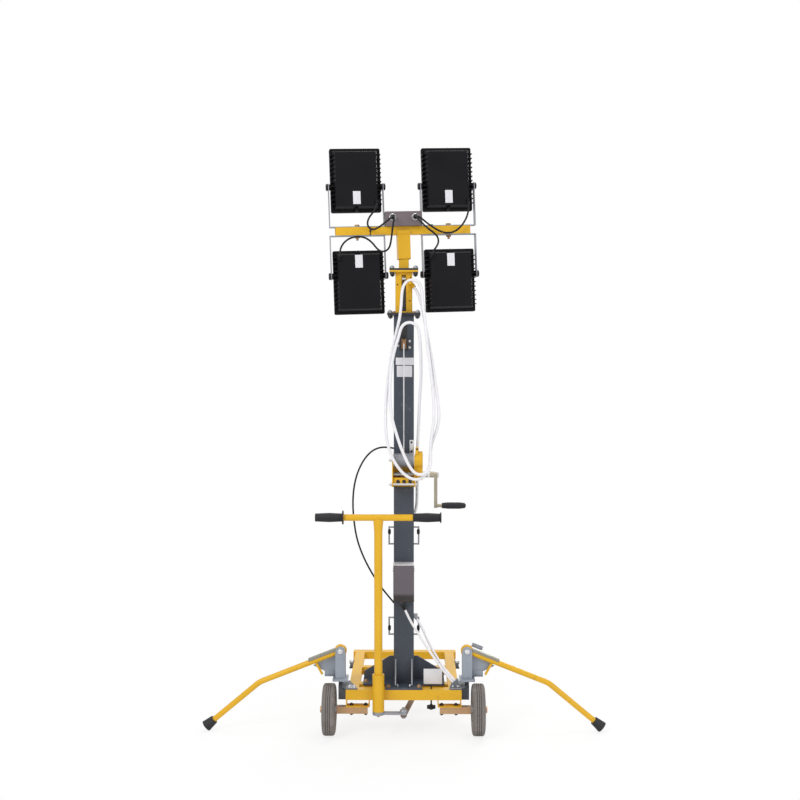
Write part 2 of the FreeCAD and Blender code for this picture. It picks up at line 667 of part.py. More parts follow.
def near_crossbar():
    """The near bar with the tiller's sleeve and the two axle hangers welded to it."""
    low = s.frame_top - s.bar_side
    half = s.bar_half_length
    bar = block("near_bar", (-half, BAR_FRONT, low), (half, BAR_BACK, s.frame_top))
    sleeve = rod(
        "tiller_sleeve",
        s.socket_radius,
        (*TILLER, s.socket_low),
        "z",
        s.socket_high - s.socket_low,
    )
    welds = [bar, sleeve]
    top = s.wheel_radius + s.axle_side / 2
    for side, sign in (("left", -1), ("right", 1)):
        ends = [sign * s.hat_inner, sign * s.hat_outer]
        x0, x1 = ends if sign > 0 else ends[::-1]
        for part, a, b, high in (
            ("floor", x0, x1, top + s.hat_plate),
            ("strap", x0, x0 + s.hat_plate, low),
            ("far_strap", x1 - s.hat_plate, x1, low),
        ):
            name = "hanger_%s_%s" % (side, part)
            welds.append(block(name, (a, BAR_FRONT, top), (b, BAR_BACK, high)))
    solid = fuse("near_bar_welded", welds)
    wall = s.bar_wall
    bore = block(
        "near_bar_bore",
        (-half, BAR_FRONT + wall, low + wall),
        (half, BAR_BACK - wall, s.frame_top - wall),
    )
    reach = s.socket_high - s.socket_low
    shaft = rod(
        "sleeve_bore", s.tiller_radius + s.socket_gap, (*TILLER, s.socket_low), "z", reach
    )
    screw_hole = rod(
        "screw_hole", s.screw_radius, (s.knob_out, BAR_Y, low), "z", s.bar_side
    )
    return keep(cut("near_crossbar", solid, [bore, shaft, screw_hole]))


def side_rails():
    """Two rails from the near bar to the far bar."""
    rails = []
    for side, sign in (("left", -1), ("right", 1)):
        ends = [sign * RAIL_INSIDE, sign * s.rail_outside]
        x0, x1 = ends if sign > 0 else ends[::-1]
        skin = block("rail_skin_" + side, (x0, BAR_BACK, RAIL_LOW), (x1, FAR_FRONT, s.frame_top))
        wall = s.bar_wall
        bore = block(
            "rail_bore_" + side,
            (x0 + wall, BAR_BACK, RAIL_LOW + wall),
            (x1 - wall, FAR_FRONT, s.frame_top - wall),
        )
        rails.append(cut("rail_" + side, skin, [bore]))
    return keep(group("side_rails", rails))


def cross_members():
    """The middle bar, and the bar that carries the mast foot's wide part."""
    mid = ahead(s.mid_bar_front)
    foot = ahead(s.foot_bar_front)
    bars = [
        tube_across(
            "middle_bar", RAIL_INSIDE, mid, mid + s.mid_bar_width, RAIL_LOW, s.frame_top
        ),
        tube_across(
            "foot_bar", RAIL_INSIDE, foot, foot + s.foot_bar_width, RAIL_LOW, s.frame_top
        ),
    ]
    return keep(group("cross_members", bars))


def mast_foot():
    """The foot plate with its side gussets and front ribs."""
    low = s.frame_top
    top = low + s.foot_thick
    body = body_of("foot_plate")
    y = {k: ahead(v) for k, v in (("shoulder", s.foot_shoulder), ("back", s.foot_back))}
    outline = [
        (-s.foot_tongue, BAR_FRONT),
        (s.foot_tongue, BAR_FRONT),
        (s.foot_tongue, y["shoulder"]),
        (s.foot_half_width, y["shoulder"]),
        (s.foot_half_width, y["back"]),
        (-s.foot_half_width, y["back"]),
        (-s.foot_half_width, y["shoulder"]),
        (-s.foot_tongue, y["shoulder"]),
    ]
    pad(body, "foot_pad", sketch(body, "foot_outline", "XY_Plane", [outline]), s.foot_thick)
    place(body, ZERO, ZERO, low)
    half = s.mast_side / 2
    pieces = [body]
    gusset = body_of("gusset_plate")
    profile = [
        (half, top),
        (s.gusset_reach, top),
        (s.gusset_reach, s.gusset_low),
        (s.gusset_crest, s.gusset_top),
        (half, s.gusset_top),
    ]
    face = sketch(gusset, "gusset_outline", "XZ_Plane", [profile])
    pad(gusset, "gusset_pad", face, s.gusset_thick, both=True)
    place(gusset, ZERO, MAST_Y, ZERO)
    pieces += [gusset, mirrored("gusset_plate_left", gusset)]
    for side, x in (("left", -s.rib_place), ("right", s.rib_place)):
        rib = body_of("rib_" + side)
        mast_front = MAST_Y - half
        profile = [
            (mast_front, top),
            (mast_front, top + s.rib_high),
            (mast_front - s.rib_thick, top + s.rib_high),
            (mast_front - s.rib_long, top + s.rib_thick),
            (mast_front - s.rib_long, top),
        ]
        face = sketch(rib, "rib_outline_" + side, "YZ_Plane", [profile])
        pad(rib, "rib_pad_" + side, face, s.rib_thick, both=True)
        place(rib, x, ZERO, ZERO)
        pieces.append(rib)
    return keep(fuse("mast_foot", pieces))


FOOT_TOP = s.frame_top + s.foot_thick
MAST_FRONT = MAST_Y - s.mast_side / 2
MID_START = FOOT_TOP + s.mast_start
TOP_START = MID_START + s.mast_start
GUIDE_TOP = s.mast_top + s.guide_thick
COLLAR_LOW = MID_TOP
COLLAR_TOP = COLLAR_LOW + s.collar_thick
HEAD_GUIDE_TOP = COLLAR_TOP + s.guide_thick


def mast_tubes():
    """The fixed mast and the two that slide inside it."""
    outer = square_tube(
        "outer_mast", s.mast_side, s.mast_wall, FOOT_TOP, s.mast_top, s.mast_round, MAST_Y
    )
    keep(outer)
    tube = square_tube(
        "mid_tube", s.mid_side, s.mid_wall, MID_START, COLLAR_LOW, s.mast_round, MAST_Y
    )
    half = s.slot_width / 2
    start = GUIDE_TOP + s.slot_lift
    slot = block(
        "rope_slot",
        (-half, MAST_Y - s.mid_side, start),
        (half, MAST_Y + s.mid_side, start + s.slot_length),
    )
    slotted = cut("mid_tube_slotted", tube, [slot])
    wide = s.collar_wide / 2
    flange = block(
        "mid_flange", (-wide, MAST_Y - wide, COLLAR_LOW), (wide, MAST_Y + wide, COLLAR_TOP)
    )
    way = start_way("mast_cable")
    x, y, z = Vector(*ROUTES["mast_cable"][0]) - way * float(s.seat_gap)
    clip_end = s.clip_deep
    clip = spoke("cable_clip", s.mast_gland, (x, y, z), way, clip_end)
    face_y = MAST_Y - s.mid_side / 2
    clip_top = z + clip_end
    seat = block(
        "cable_clip_seat",
        (s.mid_side / 2 - s.clip_width / 2, ahead(y), clip_top - s.clip_deep / 2),
        (s.mid_side / 2, face_y + s.mid_wall / 2, clip_top + s.clip_deep / 2),
    )
    hook = rod(
        "cable_hook", s.hook_radius, (s.hook_out, face_y - s.hook_long, s.hook_height), "y",
        s.hook_long,
    )
    welded = fuse("mid_mast_welded", [slotted, flange, clip, seat, hook])
    room = s.mid_side / 2 - s.mid_wall
    bore = block(
        "mid_flange_bore", (-room, MAST_Y - room, COLLAR_LOW), (room, MAST_Y + room, COLLAR_TOP)
    )
    keep(cut("middle_mast", welded, [bore]))
    low = square_tube(
        "top_tube", s.top_side, s.top_wall, TOP_START, NECK_TOP, s.top_wall, MAST_Y
    )
    grip = s.spigot_side / 2
    spigot = block(
        "spigot",
        (-grip, MAST_Y - grip, NECK_TOP - s.top_wall),
        (grip, MAST_Y + grip, TEE_CENTRE - s.tee_side),
    )
    wide = s.top_side / 2 - s.top_wall / 2
    cap = block(
        "spigot_cap",
        (-wide, MAST_Y - wide, NECK_TOP - s.top_wall),
        (wide, MAST_Y + wide, NECK_TOP),
    )
    keep(fuse("inner_mast", [low, cap, spigot]))


def guide(name, wide, low, hole, bolt_place, flange):
    """A black guide plate round a sliding tube, with four bolts through the flange below it."""
    half = wide / 2
    plate = block(name + "_plate", (-half, MAST_Y - half, low), (half, MAST_Y + half, low + s.guide_thick))
    grip = hole / 2 + s.slide_gap
    window = block(
        name + "_window", (-grip, MAST_Y - grip, low), (grip, MAST_Y + grip, low + s.guide_thick)
    )
    pieces = [cut(name + "_ring", plate, [window])]
    nuts = []
    for i, (x, y) in enumerate(((-1, -1), (1, -1), (1, 1), (-1, 1))):
        spot = (x * bolt_place, MAST_Y + y * bolt_place)
        pieces.append(
            rod(
                "%s_bolt_%d" % (name, i),
                s.guide_bolt,
                (*spot, low + s.guide_thick),
                "z",
                s.bolt_head,
            )
        )
        nut_low = low - flange - s.bolt_head
        nuts.append(
            rod("%s_nut_%d" % (name, i), s.guide_bolt, (*spot, nut_low), "z", s.bolt_head)
        )
    return keep(group(name, [fuse(name + "_bolted", pieces)] + nuts))


NECK = Vector(0, float(MAST_Y), float(NECK_TOP))
LEAN = Rotation(Z_AXIS, float(s.head_turn)).multiply(Rotation(Y_AXIS, -float(s.head_lean)))
TEE_TOP = TEE_CENTRE + s.tee_side / 2
TEE_LOW = TEE_CENTRE - s.tee_side / 2


def lean(obj):
    """Leans and turns a finished piece of the lamp head about the top of the neck."""
    obj.Placement = Placement(Vector(), LEAN, NECK)
    return keep(obj)


def lamp_tee():
    """The sleeve on the neck and the cross tube."""
    half = s.sleeve_side / 2
    sleeve = block(
        "head_sleeve",
        (-half, MAST_Y - half, NECK_TOP + s.seat_gap),
        (half, MAST_Y + half, TEE_CENTRE),
    )
    room = half - s.sleeve_wall
    bore = block(
        "head_sleeve_bore",
        (-room, MAST_Y - room, NECK_TOP + s.seat_gap),
        (room, MAST_Y + room, TEE_LOW),
    )
    side = s.tee_side / 2
    span = s.tee_half_length
    tee = block("tee_skin", (-span, MAST_Y - side, TEE_LOW), (span, MAST_Y + side, TEE_TOP))
    wall = s.tee_wall
    hollow = block(
        "tee_bore",
        (-span, MAST_Y - side + wall, TEE_LOW + wall),
        (span, MAST_Y + side - wall, TEE_TOP - wall),
    )
    return lean(cut("lamp_tee", fuse("tee_welded", [sleeve, tee]), [bore, hollow]))


def junction_box():
    """The box on the cross tube, with a lid and two cable glands."""
    half = s.junction_width / 2
    deep = s.junction_deep / 2
    top = TEE_TOP + s.junction_high
    body = body_of("junction_case")
    outline = [(-half, TEE_TOP), (half, TEE_TOP), (half, top), (-half, top)]
    face = sketch(body, "junction_outline", "XZ_Plane", [outline])
    case = pad(body, "junction_pad", face, s.junction_deep, both=True)
    rounded(body, "junction_edges", case, s.junction_round, lambda e: runs(e, Y_AXIS))
    place(body, ZERO, MAST_Y, ZERO)
    pieces = [body]
    for side, x in (("left", -s.gland_place), ("right", s.gland_place)):
        start = (x, MAST_Y - deep - s.gland_long, TEE_TOP + s.gland_high)
        pieces.append(rod("gland_" + side, s.gland_radius, start, "y", s.gland_long))
    return lean(fuse("junction_box", pieces))


def yoke(name, x, base, up):
    """One flat-bar yoke: its base on the cross tube, its arms to the lamp's pivot."""
    outer = s.yoke_width / 2
    inner = outer - s.yoke_thick
    inside = base + up * s.yoke_thick
    pivot = base + up * s.yoke_pivot
    outline = [
        (-outer, base),
        (outer, base),
        (outer, pivot),
        (inner, pivot),
        (inner, inside),
        (-inner, inside),
        (-inner, pivot),
        (-outer, pivot),
    ]
    bar = body_of(name + "_bar")
    face = sketch(bar, name + "_outline", "XZ_Plane", [outline])
    pad(bar, name + "_pad", face, s.yoke_deep, both=True)
    place(bar, x, MAST_Y, ZERO)
    pieces = [bar]
    holes = []
    for side, start in (("left", -outer), ("right", inner)):
        at = (x + start, MAST_Y, pivot)
        pieces.append(rod("%s_tip_%s" % (name, side), s.yoke_tip, at, "x", s.yoke_thick))
        holes.append(
            rod("%s_hole_%s" % (name, side), s.yoke_bolt + s.axle_gap, at, "x", s.yoke_thick)
        )
    head_low = inside if up > 0 else inside - s.bolt_head
    head = s.yoke_bolt * s.bolt_spread
    pieces.append(rod(name + "_bolt", head, (x, MAST_Y, head_low), "z", s.bolt_head))
    return cut(name, fuse(name + "_welded", pieces), holes)


LAMPS = [
    # name, side, up
    ("upper_left", -1, 1),
    ("upper_right", 1, 1),
    ("lower_left", -1, -1),
    ("lower_right", 1, -1),
]


def lamp_yokes():
    yokes = []
    for name, side, up in LAMPS:
        base = TEE_TOP if up > 0 else TEE_LOW
        yokes.append(yoke("yoke_" + name, side * s.yoke_place, base, up))
    return lean(group("lamp_yokes", yokes))


def floodlight(name, side, up):
    """A floodlight: rim, tapered back cover, side fins, pivot knobs; and its glass."""
    x = side * s.yoke_place
    base = TEE_TOP if up > 0 else TEE_LOW
    pivot = base + up * s.yoke_pivot
    near = pivot - up * s.lamp_near
    far = near + up * s.lamp_high
    low, high = (near, far) if up > 0 else (far, near)
    half = s.lamp_width / 2
    front = MAST_Y + s.lamp_rim
    rim = body_of("rim_" + name)
    face = sketch(
        rim, "rim_outline_" + name, "XZ_Plane",
        [[(-half, low), (half, low), (half, high), (-half, high)]], offset=-s.lamp_rim,
    )
    box = pad(rim, "rim_pad_" + name, face, s.lamp_rim)
    rounded(rim, "rim_round_" + name, box, s.lamp_round, lambda e: runs(e, Y_AXIS))
    taper = s.lamp_slope
    wide = sketch(
        rim, "cover_wide_" + name, "XZ_Plane",
        [[(-half + taper, low + taper), (half - taper, low + taper),
          (half - taper, high - taper), (-half + taper, high - taper)]],
    )
    small = sketch(
        rim, "cover_small_" + name, "XZ_Plane",
        [[(-half + 2 * taper, low + 2 * taper), (half - 2 * taper, low + 2 * taper),
          (half - 2 * taper, high - 2 * taper), (-half + 2 * taper, high - 2 * taper)]],
        offset=s.lamp_back,
    )
    cover = rim.newObject("PartDesign::AdditiveLoft", "cover_" + name)
    cover.Profile = wide
    cover.Sections = [small]
    place(rim, x, MAST_Y, ZERO)
    pieces = [rim]
    count = int(s.fin_count.value)
    middle = (low + high) / 2
    for edge, sign in (("left", -1), ("right", 1)):
        inner = x + sign * (half - 2 * taper)
        outer = x + sign * half
        x0, x1 = (outer, inner) if sign < 0 else (inner, outer)
        for i in range(count):
            z = middle + (i - (count - 1) / 2) * s.fin_gap - s.fin_thick / 2
            fin = block(
                "fin_%s_%s_%d" % (name, edge, i),
                (x0, MAST_Y - s.fin_reach, z),
                (x1, MAST_Y, z + s.fin_thick),
            )
            pieces.append(fin)
    gap = s.yoke_width / 2 - half
    for edge, sign in (("left", -1), ("right", 1)):
        boss = gap - s.yoke_thick - s.seat_gap
        start = x + (half if sign > 0 else -half - boss)
        pieces.append(
            rod("boss_%s_%s" % (name, edge), s.lug_radius, (start, MAST_Y, pivot), "x", boss)
        )
        pin_start = x + (half if sign > 0 else -half - gap - s.seat_gap)
        pieces.append(
            rod(
                "pin_%s_%s" % (name, edge), s.yoke_bolt, (pin_start, MAST_Y, pivot), "x",
                gap + s.seat_gap,
            )
        )
        knob_start = x + (
            half + gap + s.seat_gap if sign > 0 else -half - gap - s.seat_gap - s.lug_thick
        )
        pieces.append(
            rod(
                "knob_%s_%s" % (name, edge), s.lug_radius, (knob_start, MAST_Y, pivot), "x",
                s.lug_thick,
            )
        )
    entry = Vector(*ROUTES["lead_" + name][-1])
    into = end_way("lead_" + name)
    boss = s.lead_boss_long
    spot = entry + into * float(boss)
    pieces.append(spoke("lead_boss_" + name, s.lead_boss, spot, into, boss))
    bed_low = min(entry.z, spot.z)
    pieces.append(
        block(
            "lead_bed_" + name,
            (spot.x - s.lead_boss, ahead(entry.y), bed_low + s.lead_boss / 2),
            (spot.x + s.lead_boss, MAST_Y - s.lamp_back, bed_low + boss - s.lead_boss / 2),
        )
    )
    depth = s.glass_sunk + s.glass_thick + s.led_room
    inset = s.glass_inset
    cavity = block(
        "cavity_" + name,
        (x - half + inset, front - depth, low + inset),
        (x + half - inset, front, high - inset),
    )
    lean(cut("lamp_" + name, fuse("lamp_solid_" + name, pieces), [cavity]))
    pane = block(
        "lamp_glass_" + name,
        (x - half + inset, front - s.glass_sunk - s.glass_thick, low + inset),
        (x + half - inset, front - s.glass_sunk, high - inset),
    )
    lean(group("glass_" + name, [pane]))


WINCH_Y = MAST_FRONT - s.drum_reach


def winch():
    """The hand winch: bracket, drum with its rope, gear cover."""
    half = s.winch_width / 2
    front = MAST_FRONT - s.winch_deep
    plate = s.winch_plate
    bracket = body_of("winch_bent")
    outline = [
        (-half, MAST_FRONT),
        (-half, front),
        (-half + plate, front),
        (-half + plate, MAST_FRONT - plate),
        (half - plate, MAST_FRONT - plate),
        (half - plate, front),
        (half, front),
        (half, MAST_FRONT),
    ]
    face = sketch(bracket, "winch_outline", "XY_Plane", [outline])
    low = CRANK_Z - s.winch_under
    pad(bracket, "winch_pad", face, s.drum_height + s.winch_over - low)
    place(bracket, ZERO, ZERO, low)
    wide = s.winch_width + s.cover_thick
    holes = [
        rod("drum_hole", s.crank_shaft, (-half, WINCH_Y, s.drum_height), "x", wide),
        rod(
            "crank_hole", s.crank_shaft + s.axle_gap, (-half, WINCH_Y, CRANK_Z), "x", wide
        ),
    ]
    keep(cut("winch_bracket", bracket, holes))
    cheek = half - plate - s.seat_gap
    shaft = rod("drum_shaft", s.crank_shaft, (-half, WINCH_Y, s.drum_height), "x", 2 * half)
    barrel = rod("drum_barrel", s.drum_radius, (-cheek, WINCH_Y, s.drum_height), "x", 2 * cheek)
    discs = [
        rod("drum_disc_%d" % i, s.drum_flange, (x, WINCH_Y, s.drum_height), "x", s.drum_flange_thick)
        for i, x in enumerate((-cheek, cheek - s.drum_flange_thick))
    ]
    keep(fuse("winch_drum", [shaft, barrel] + discs))
    low_end = (half, WINCH_Y, CRANK_Z)
    high_end = (half, WINCH_Y, s.drum_height)
    lobes = [
        rod("cover_low_lobe", s.cover_low, low_end, "x", s.cover_thick),
        rod("cover_high_lobe", s.cover_high, high_end, "x", s.cover_thick),
        block(
            "cover_waist",
            (half, WINCH_Y - s.cover_low, CRANK_Z),
            (half + s.cover_thick, WINCH_Y + s.cover_low, s.drum_height),
        ),
    ]
    crank_way = rod(
        "cover_hole", s.crank_shaft + s.axle_gap, (half, WINCH_Y, CRANK_Z), "x", s.cover_thick
    )
    keep(cut("winch_cover", fuse("cover_solid", lobes), [crank_way]))


def crank():
    """The crank: shaft, hub and hanging arm; and its grip."""
    half = s.winch_width / 2
    y, z = WINCH_Y, CRANK_Z
    out = s.crank_out + s.crank_arm_thick
    shaft = rod("crank_axle", s.crank_shaft, (-half, y, z), "x", half + out)
    hub = rod(
        "crank_hub_ring", s.crank_hub, (half + s.cover_thick + s.seat_gap, y, z), "x",
        s.crank_out - half - s.cover_thick - s.seat_gap,
    )
    wide = s.crank_arm_wide / 2
    arm = block(
        "crank_bar", (s.crank_out, y - wide, z - s.crank_arm), (out, y + wide, z)
    )
    ends = [
        rod("crank_end_%d" % i, wide, (s.crank_out, y, h), "x", s.crank_arm_thick)
        for i, h in enumerate((z, z - s.crank_arm))
    ]
    pin = rod(
        "crank_pin", s.crank_shaft, (out, y, z - s.crank_arm), "x", s.crank_pin_long
    )
    keep(fuse("crank", [shaft, hub, arm, pin] + ends))
    body = body_of("crank_grip")
    radius = s.crank_grip_radius
    end = s.crank_grip_long
    waist = radius - s.grip_waist
    profile = [
        (ZERO, ZERO), (ZERO, waist), (end / 4, radius), (end * 3 / 4, radius),
        (end - waist / 2, waist), (end, waist / 2), (end, ZERO),
    ]
    face = sketch(body, "crank_grip_outline", "XZ_Plane", [profile])
    turned(body, "crank_grip_turned", face, "H_Axis")
    place(body, out + s.crank_pin_long, y, z - s.crank_arm)
    keep(body)


def rope_and_pulley():
    """The hoist rope, from the drum up to a pulley on the mast's face."""
    reach = s.pulley_radius + s.rope_radius
    wheel = rod(
        "pulley_wheel", s.pulley_radius,
        (-s.pulley_thick / 2, MAST_FRONT - reach, PULLEY_Z), "x", s.pulley_thick,
    )
    cheeks = []
    for i, x in enumerate((-1, 1)):
        inner = s.pulley_thick / 2 + s.pulley_room
        x0 = inner if x > 0 else -inner - s.pulley_cheek
        cheeks.append(
            block(
                "pulley_cheek_%d" % i,
                (x0, MAST_FRONT - reach - s.pulley_radius / 2, PULLEY_Z - s.pulley_radius),
                (x0 + s.pulley_cheek, MAST_FRONT, PULLEY_Z + s.pulley_radius),
            )
        )
    axle = rod(
        "pulley_axle", s.yoke_bolt,
        (-s.pulley_thick / 2 - s.pulley_room - s.pulley_cheek, MAST_FRONT - reach, PULLEY_Z),
        "x", s.pulley_thick + 2 * (s.pulley_room + s.pulley_cheek),
    )
    keep(fuse("rope_pulley", [wheel, axle] + cheeks))
    start = Vector(0, float(WINCH_Y), float(s.drum_height + s.drum_radius + s.rope_radius))
    end = Vector(
        0, float(MAST_FRONT - reach - s.pulley_radius - s.rope_radius), float(PULLEY_Z)
    )
    way = end - start
    rope = named("Part::Feature", "hoist_rope")
    rope.Shape = Part.makeCylinder(float(s.rope_radius), way.Length, start, way)
    keep(rope)


def control_box():
    """The control box on the mast, with its sloping lower face and cable gland."""
    back = MAST_FRONT
    front = back - s.control_deep
    body = body_of("control_case")
    profile = [
        (back, s.control_low),
        (back, s.control_top),
        (front, s.control_top),
        (front, s.control_corner),
        (front + s.control_deep / 2, s.control_low),
    ]
    face = sketch(body, "control_outline", "YZ_Plane", [profile])
    case = pad(body, "control_pad", face, s.control_width, both=True)
    rounded(body, "control_edges", case, s.control_round, lambda e: runs(e, X_AXIS))
    gland = spoke(
        "control_gland", s.control_gland, ROUTES["front_lead"][0], start_way("front_lead"),
        s.control_gland_long,
    )
    keep(fuse("control_box", [body, gland]))


def cable_hooks():
    """Four bent rods on the mast's sides that the power cable is wound on."""
    side = s.mast_side / 2
    rods = []
    for name, height in (("high", s.loop_high), ("low", s.loop_low)):
        for edge, sign in (("left", -1), ("right", 1)):
            x0 = side if sign > 0 else -side - s.loop_out
            out = x0 + s.loop_out - s.loop_rod if sign > 0 else x0 + s.loop_rod
            arms = [
                rod(
                    "hook_%s_%s_%d" % (name, edge, i), s.loop_rod,
                    (x0 if sign > 0 else x0 + s.loop_rod, MAST_Y, z), "x", s.loop_out - s.loop_rod,
                )
                for i, z in enumerate((height - s.loop_half, height + s.loop_half))
            ]
            rail = rod(
                "hook_%s_%s_rail" % (name, edge), s.loop_rod,
                (out, MAST_Y, height - s.loop_half - s.loop_rod), "z",
                2 * (s.loop_half + s.loop_rod),
            )
            rods.append(fuse("hook_%s_%s" % (name, edge), arms + [rail]))
    back = MAST_Y + side
    for end, point in (("start", ROUTES["side_cable"][0]), ("end", ROUTES["side_cable"][-1])):
        x, y, z = point
        rods.append(rod("side_gland_" + end, s.mast_gland, (x, back, z), "y", y - side))
    x, y, z = ROUTES["mast_cable"][-1]
    wide = s.entry_width / 2
    rods.append(
        block(
            "rear_entry", (x - wide, back, z - s.entry_high), (x + wide, ahead(y) + wide, z)
        )
    )
    x, y, z = ROUTES["back_lead"][0]
    way = start_way("back_lead")
    nose = spoke("lead_nose", s.mast_gland - s.loop_rod / 2, (x, y, z), way, s.mast_gland)
    wide = s.mast_gland
    base = block(
        "lead_base",
        (side, ahead(y) - wide, z + s.mast_gland / 2),
        (x + wide / 2, ahead(y) + wide, z + s.mast_gland / 2 + 2 * wide),
    )
    rods.append(fuse("lead_gland", [nose, base]))
    return keep(group("cable_hooks", rods))


def grip(name, start, length, radius, flange):
    """A turned rubber grip along X, with a slight bulge and a flange at its right end."""
    body = body_of(name)
    thin = radius - s.grip_waist
    rim = length - s.grip_waist * 2
    profile = [
        (ZERO, s.tiller_bar), (ZERO, thin), (length / 2, radius), (rim, thin), (rim, flange),
        (length, flange), (length, s.tiller_bar),
    ]
    face = sketch(body, name + "_outline", "XZ_Plane", [profile])
    turned(body, name + "_turned", face, "H_Axis")
    place(body, *start)
    return body


ARM_HIGH = s.socket_low - s.collar_high
ARM_LOW = ARM_HIGH - s.arm_thick
LINK_HIGH = ARM_LOW - s.seat_gap
LINK_LOW = LINK_HIGH - s.link_thick
KING_Y = ahead(s.king_ahead)
LEG_Y = ahead(s.swivel_ahead)


def tiller():
    """The T-handle: upright tube, handlebar, steering arm; and its grips."""
    x, y = TILLER
    tube = rod("tiller_tube", s.tiller_radius, (x, y, ARM_HIGH), "z", s.tiller_top - ARM_HIGH)
    bore = rod(
        "tiller_bore", s.tiller_radius - s.bar_wall, (x, y, ARM_HIGH), "z",
        s.tiller_top - s.tiller_flare_long - ARM_HIGH,
    )
    bar = rod(
        "tiller_handlebar", s.tiller_bar, (x - s.tiller_half, y, s.tiller_top), "x",
        2 * s.tiller_half,
    )
    flare_top = s.tiller_top - s.tiller_bar / 2
    flare = cone(
        "tiller_flare_cone", s.tiller_radius, s.tiller_radius + s.tiller_flare,
        (x, y, flare_top - s.tiller_flare_long), "z", s.tiller_flare_long,
    )
    keep(cut("tiller", fuse("tiller_welded", [tube, bar, flare]), [bore]))
    ends = s.tiller_half - s.grip_long
    radius = s.grip_radius
    left = (x - s.tiller_half, y, s.tiller_top)
    right = (x + ends, y, s.tiller_top)
    grips = [
        grip("grip_left", left, s.grip_long, radius, s.grip_flange),
        grip("grip_right", right, s.grip_long, radius, radius + s.grip_waist),
    ]
    keep(group("tiller_grips", grips))
    wide = s.arm_wide / 2
    slim = wide * s.arm_slim
    eye = x + s.tiller_left
    arm = [
        block("arm_bar", (x, y - slim, ARM_LOW), (eye, y + slim, ARM_HIGH)),
        rod("arm_root", s.socket_radius, (x, y, ARM_LOW), "z", s.arm_thick),
        rod("arm_eye", wide, (eye, y, ARM_LOW), "z", s.arm_thick),
        rod("tiller_bolt", s.tiller_nut, (x, y, ARM_LOW - s.bolt_head), "z", s.bolt_head),
    ]
    collar = rod(
        "tiller_collar", s.socket_radius, (x, y, ARM_HIGH), "z",
        s.socket_low - ARM_HIGH - s.seat_gap,
    )
    through = rod("collar_bore", s.tiller_radius, (x, y, ARM_HIGH), "z", s.socket_low - ARM_HIGH)
    ring = cut("tiller_collar_ring", collar, [through])
    keep(fuse("tiller_arm", arm + [ring] + link_pin("arm_pin", eye, y)))


def link_pin(name, x, y):
    """The pin that hangs from an arm through the link's eye, with its head below."""
    head_top = LINK_LOW - s.seat_gap
    return [
        rod(name, s.link_pin, (x, y, head_top), "z", ARM_LOW - head_top),
        rod(name + "_head", s.link_head, (x, y, head_top - s.bolt_head), "z", s.bolt_head),
    ]


def drag_link():
    """The bar that turns the steered wheel with the tiller, an eye at each end."""
    near = Vector(0, float(TILLER[1]), float(LINK_LOW))
    far = Vector(float(s.tiller_left), float(KING_Y), float(LINK_LOW))
    way = far - near
    wide, thick = float(s.link_wide), float(s.link_thick)
    hole = float(s.link_pin + s.pin_gap)
    side = Z_AXIS.cross(way).normalize() * (wide / 2)
    corners = [near + side, far + side, far - side, near - side, near + side]
    bar = Part.Face(Part.makePolygon(corners)).extrude(Z_AXIS * thick)
    for eye in (near, far):
        bar = bar.fuse(Part.makeCylinder(wide * float(s.arm_slim), thick, eye))
    for eye in (near, far):
        bar = bar.cut(Part.makeCylinder(hole, thick, eye))
    link = named("Part::Feature", "drag_link")
    link.Shape = bar.removeSplitter()
    keep(link)


def steering_fork():
    """The fork of the steered wheel: kingpin, crown, two cheeks, steering arm and axle."""
    half = s.caster_wide / 2 + s.fork_gap
    crown_low = 2 * s.caster_radius + s.fork_gap
    crown_high = crown_low + s.fork_thick
    wide = s.fork_wide / 2
    slim = wide * s.arm_slim
    outer = half + s.fork_thick
    axle_z = s.caster_radius
    inside = RAIL_LOW + s.bar_wall + s.king_radius
    eye = s.tiller_left
    pieces = [
        rod("kingpin", s.king_radius, (ZERO, KING_Y, crown_low), "z", inside - crown_low),
        block("fork_crown", (-outer, KING_Y - wide, crown_low), (outer, KING_Y + wide, crown_high)),
        rod("fork_axle", s.fork_axle, (-outer, KING_Y, axle_z), "x", 2 * outer),
        block("fork_arm", (half, KING_Y - slim, ARM_LOW), (eye, KING_Y + slim, ARM_HIGH)),
        rod("fork_arm_eye", s.arm_wide / 2, (eye, KING_Y, ARM_LOW), "z", s.arm_thick),
    ]
    for side, x0, x1 in (("left", -outer, -half), ("right", half, outer)):
        pieces.append(
            block("cheek_" + side, (x0, KING_Y - wide, axle_z), (x1, KING_Y + wide, crown_high))
        )
        pieces.append(rod("cheek_end_" + side, wide, (x0, KING_Y, axle_z), "x", s.fork_thick))
    keep(fuse("steering_fork", pieces + link_pin("fork_pin", eye, KING_Y)))
    bottom = crown_high + s.seat_gap
    boss = rod("king_boss", s.king_radius * 2, (ZERO, KING_Y, bottom), "z", RAIL_LOW - bottom)
    bar = tube_across(
        "far_bar_tube", s.bar_half_length, FAR_FRONT, FAR_FRONT + s.far_bar_width,
        RAIL_LOW, s.frame_top,
    )
    bore = rod(
        "king_bore", s.king_radius + s.axle_gap, (ZERO, KING_Y, bottom), "z",
        RAIL_LOW + s.bar_wall - bottom,
    )
    keep(cut("far_crossbar", fuse("far_bar_welded", [bar, boss]), [bore]))


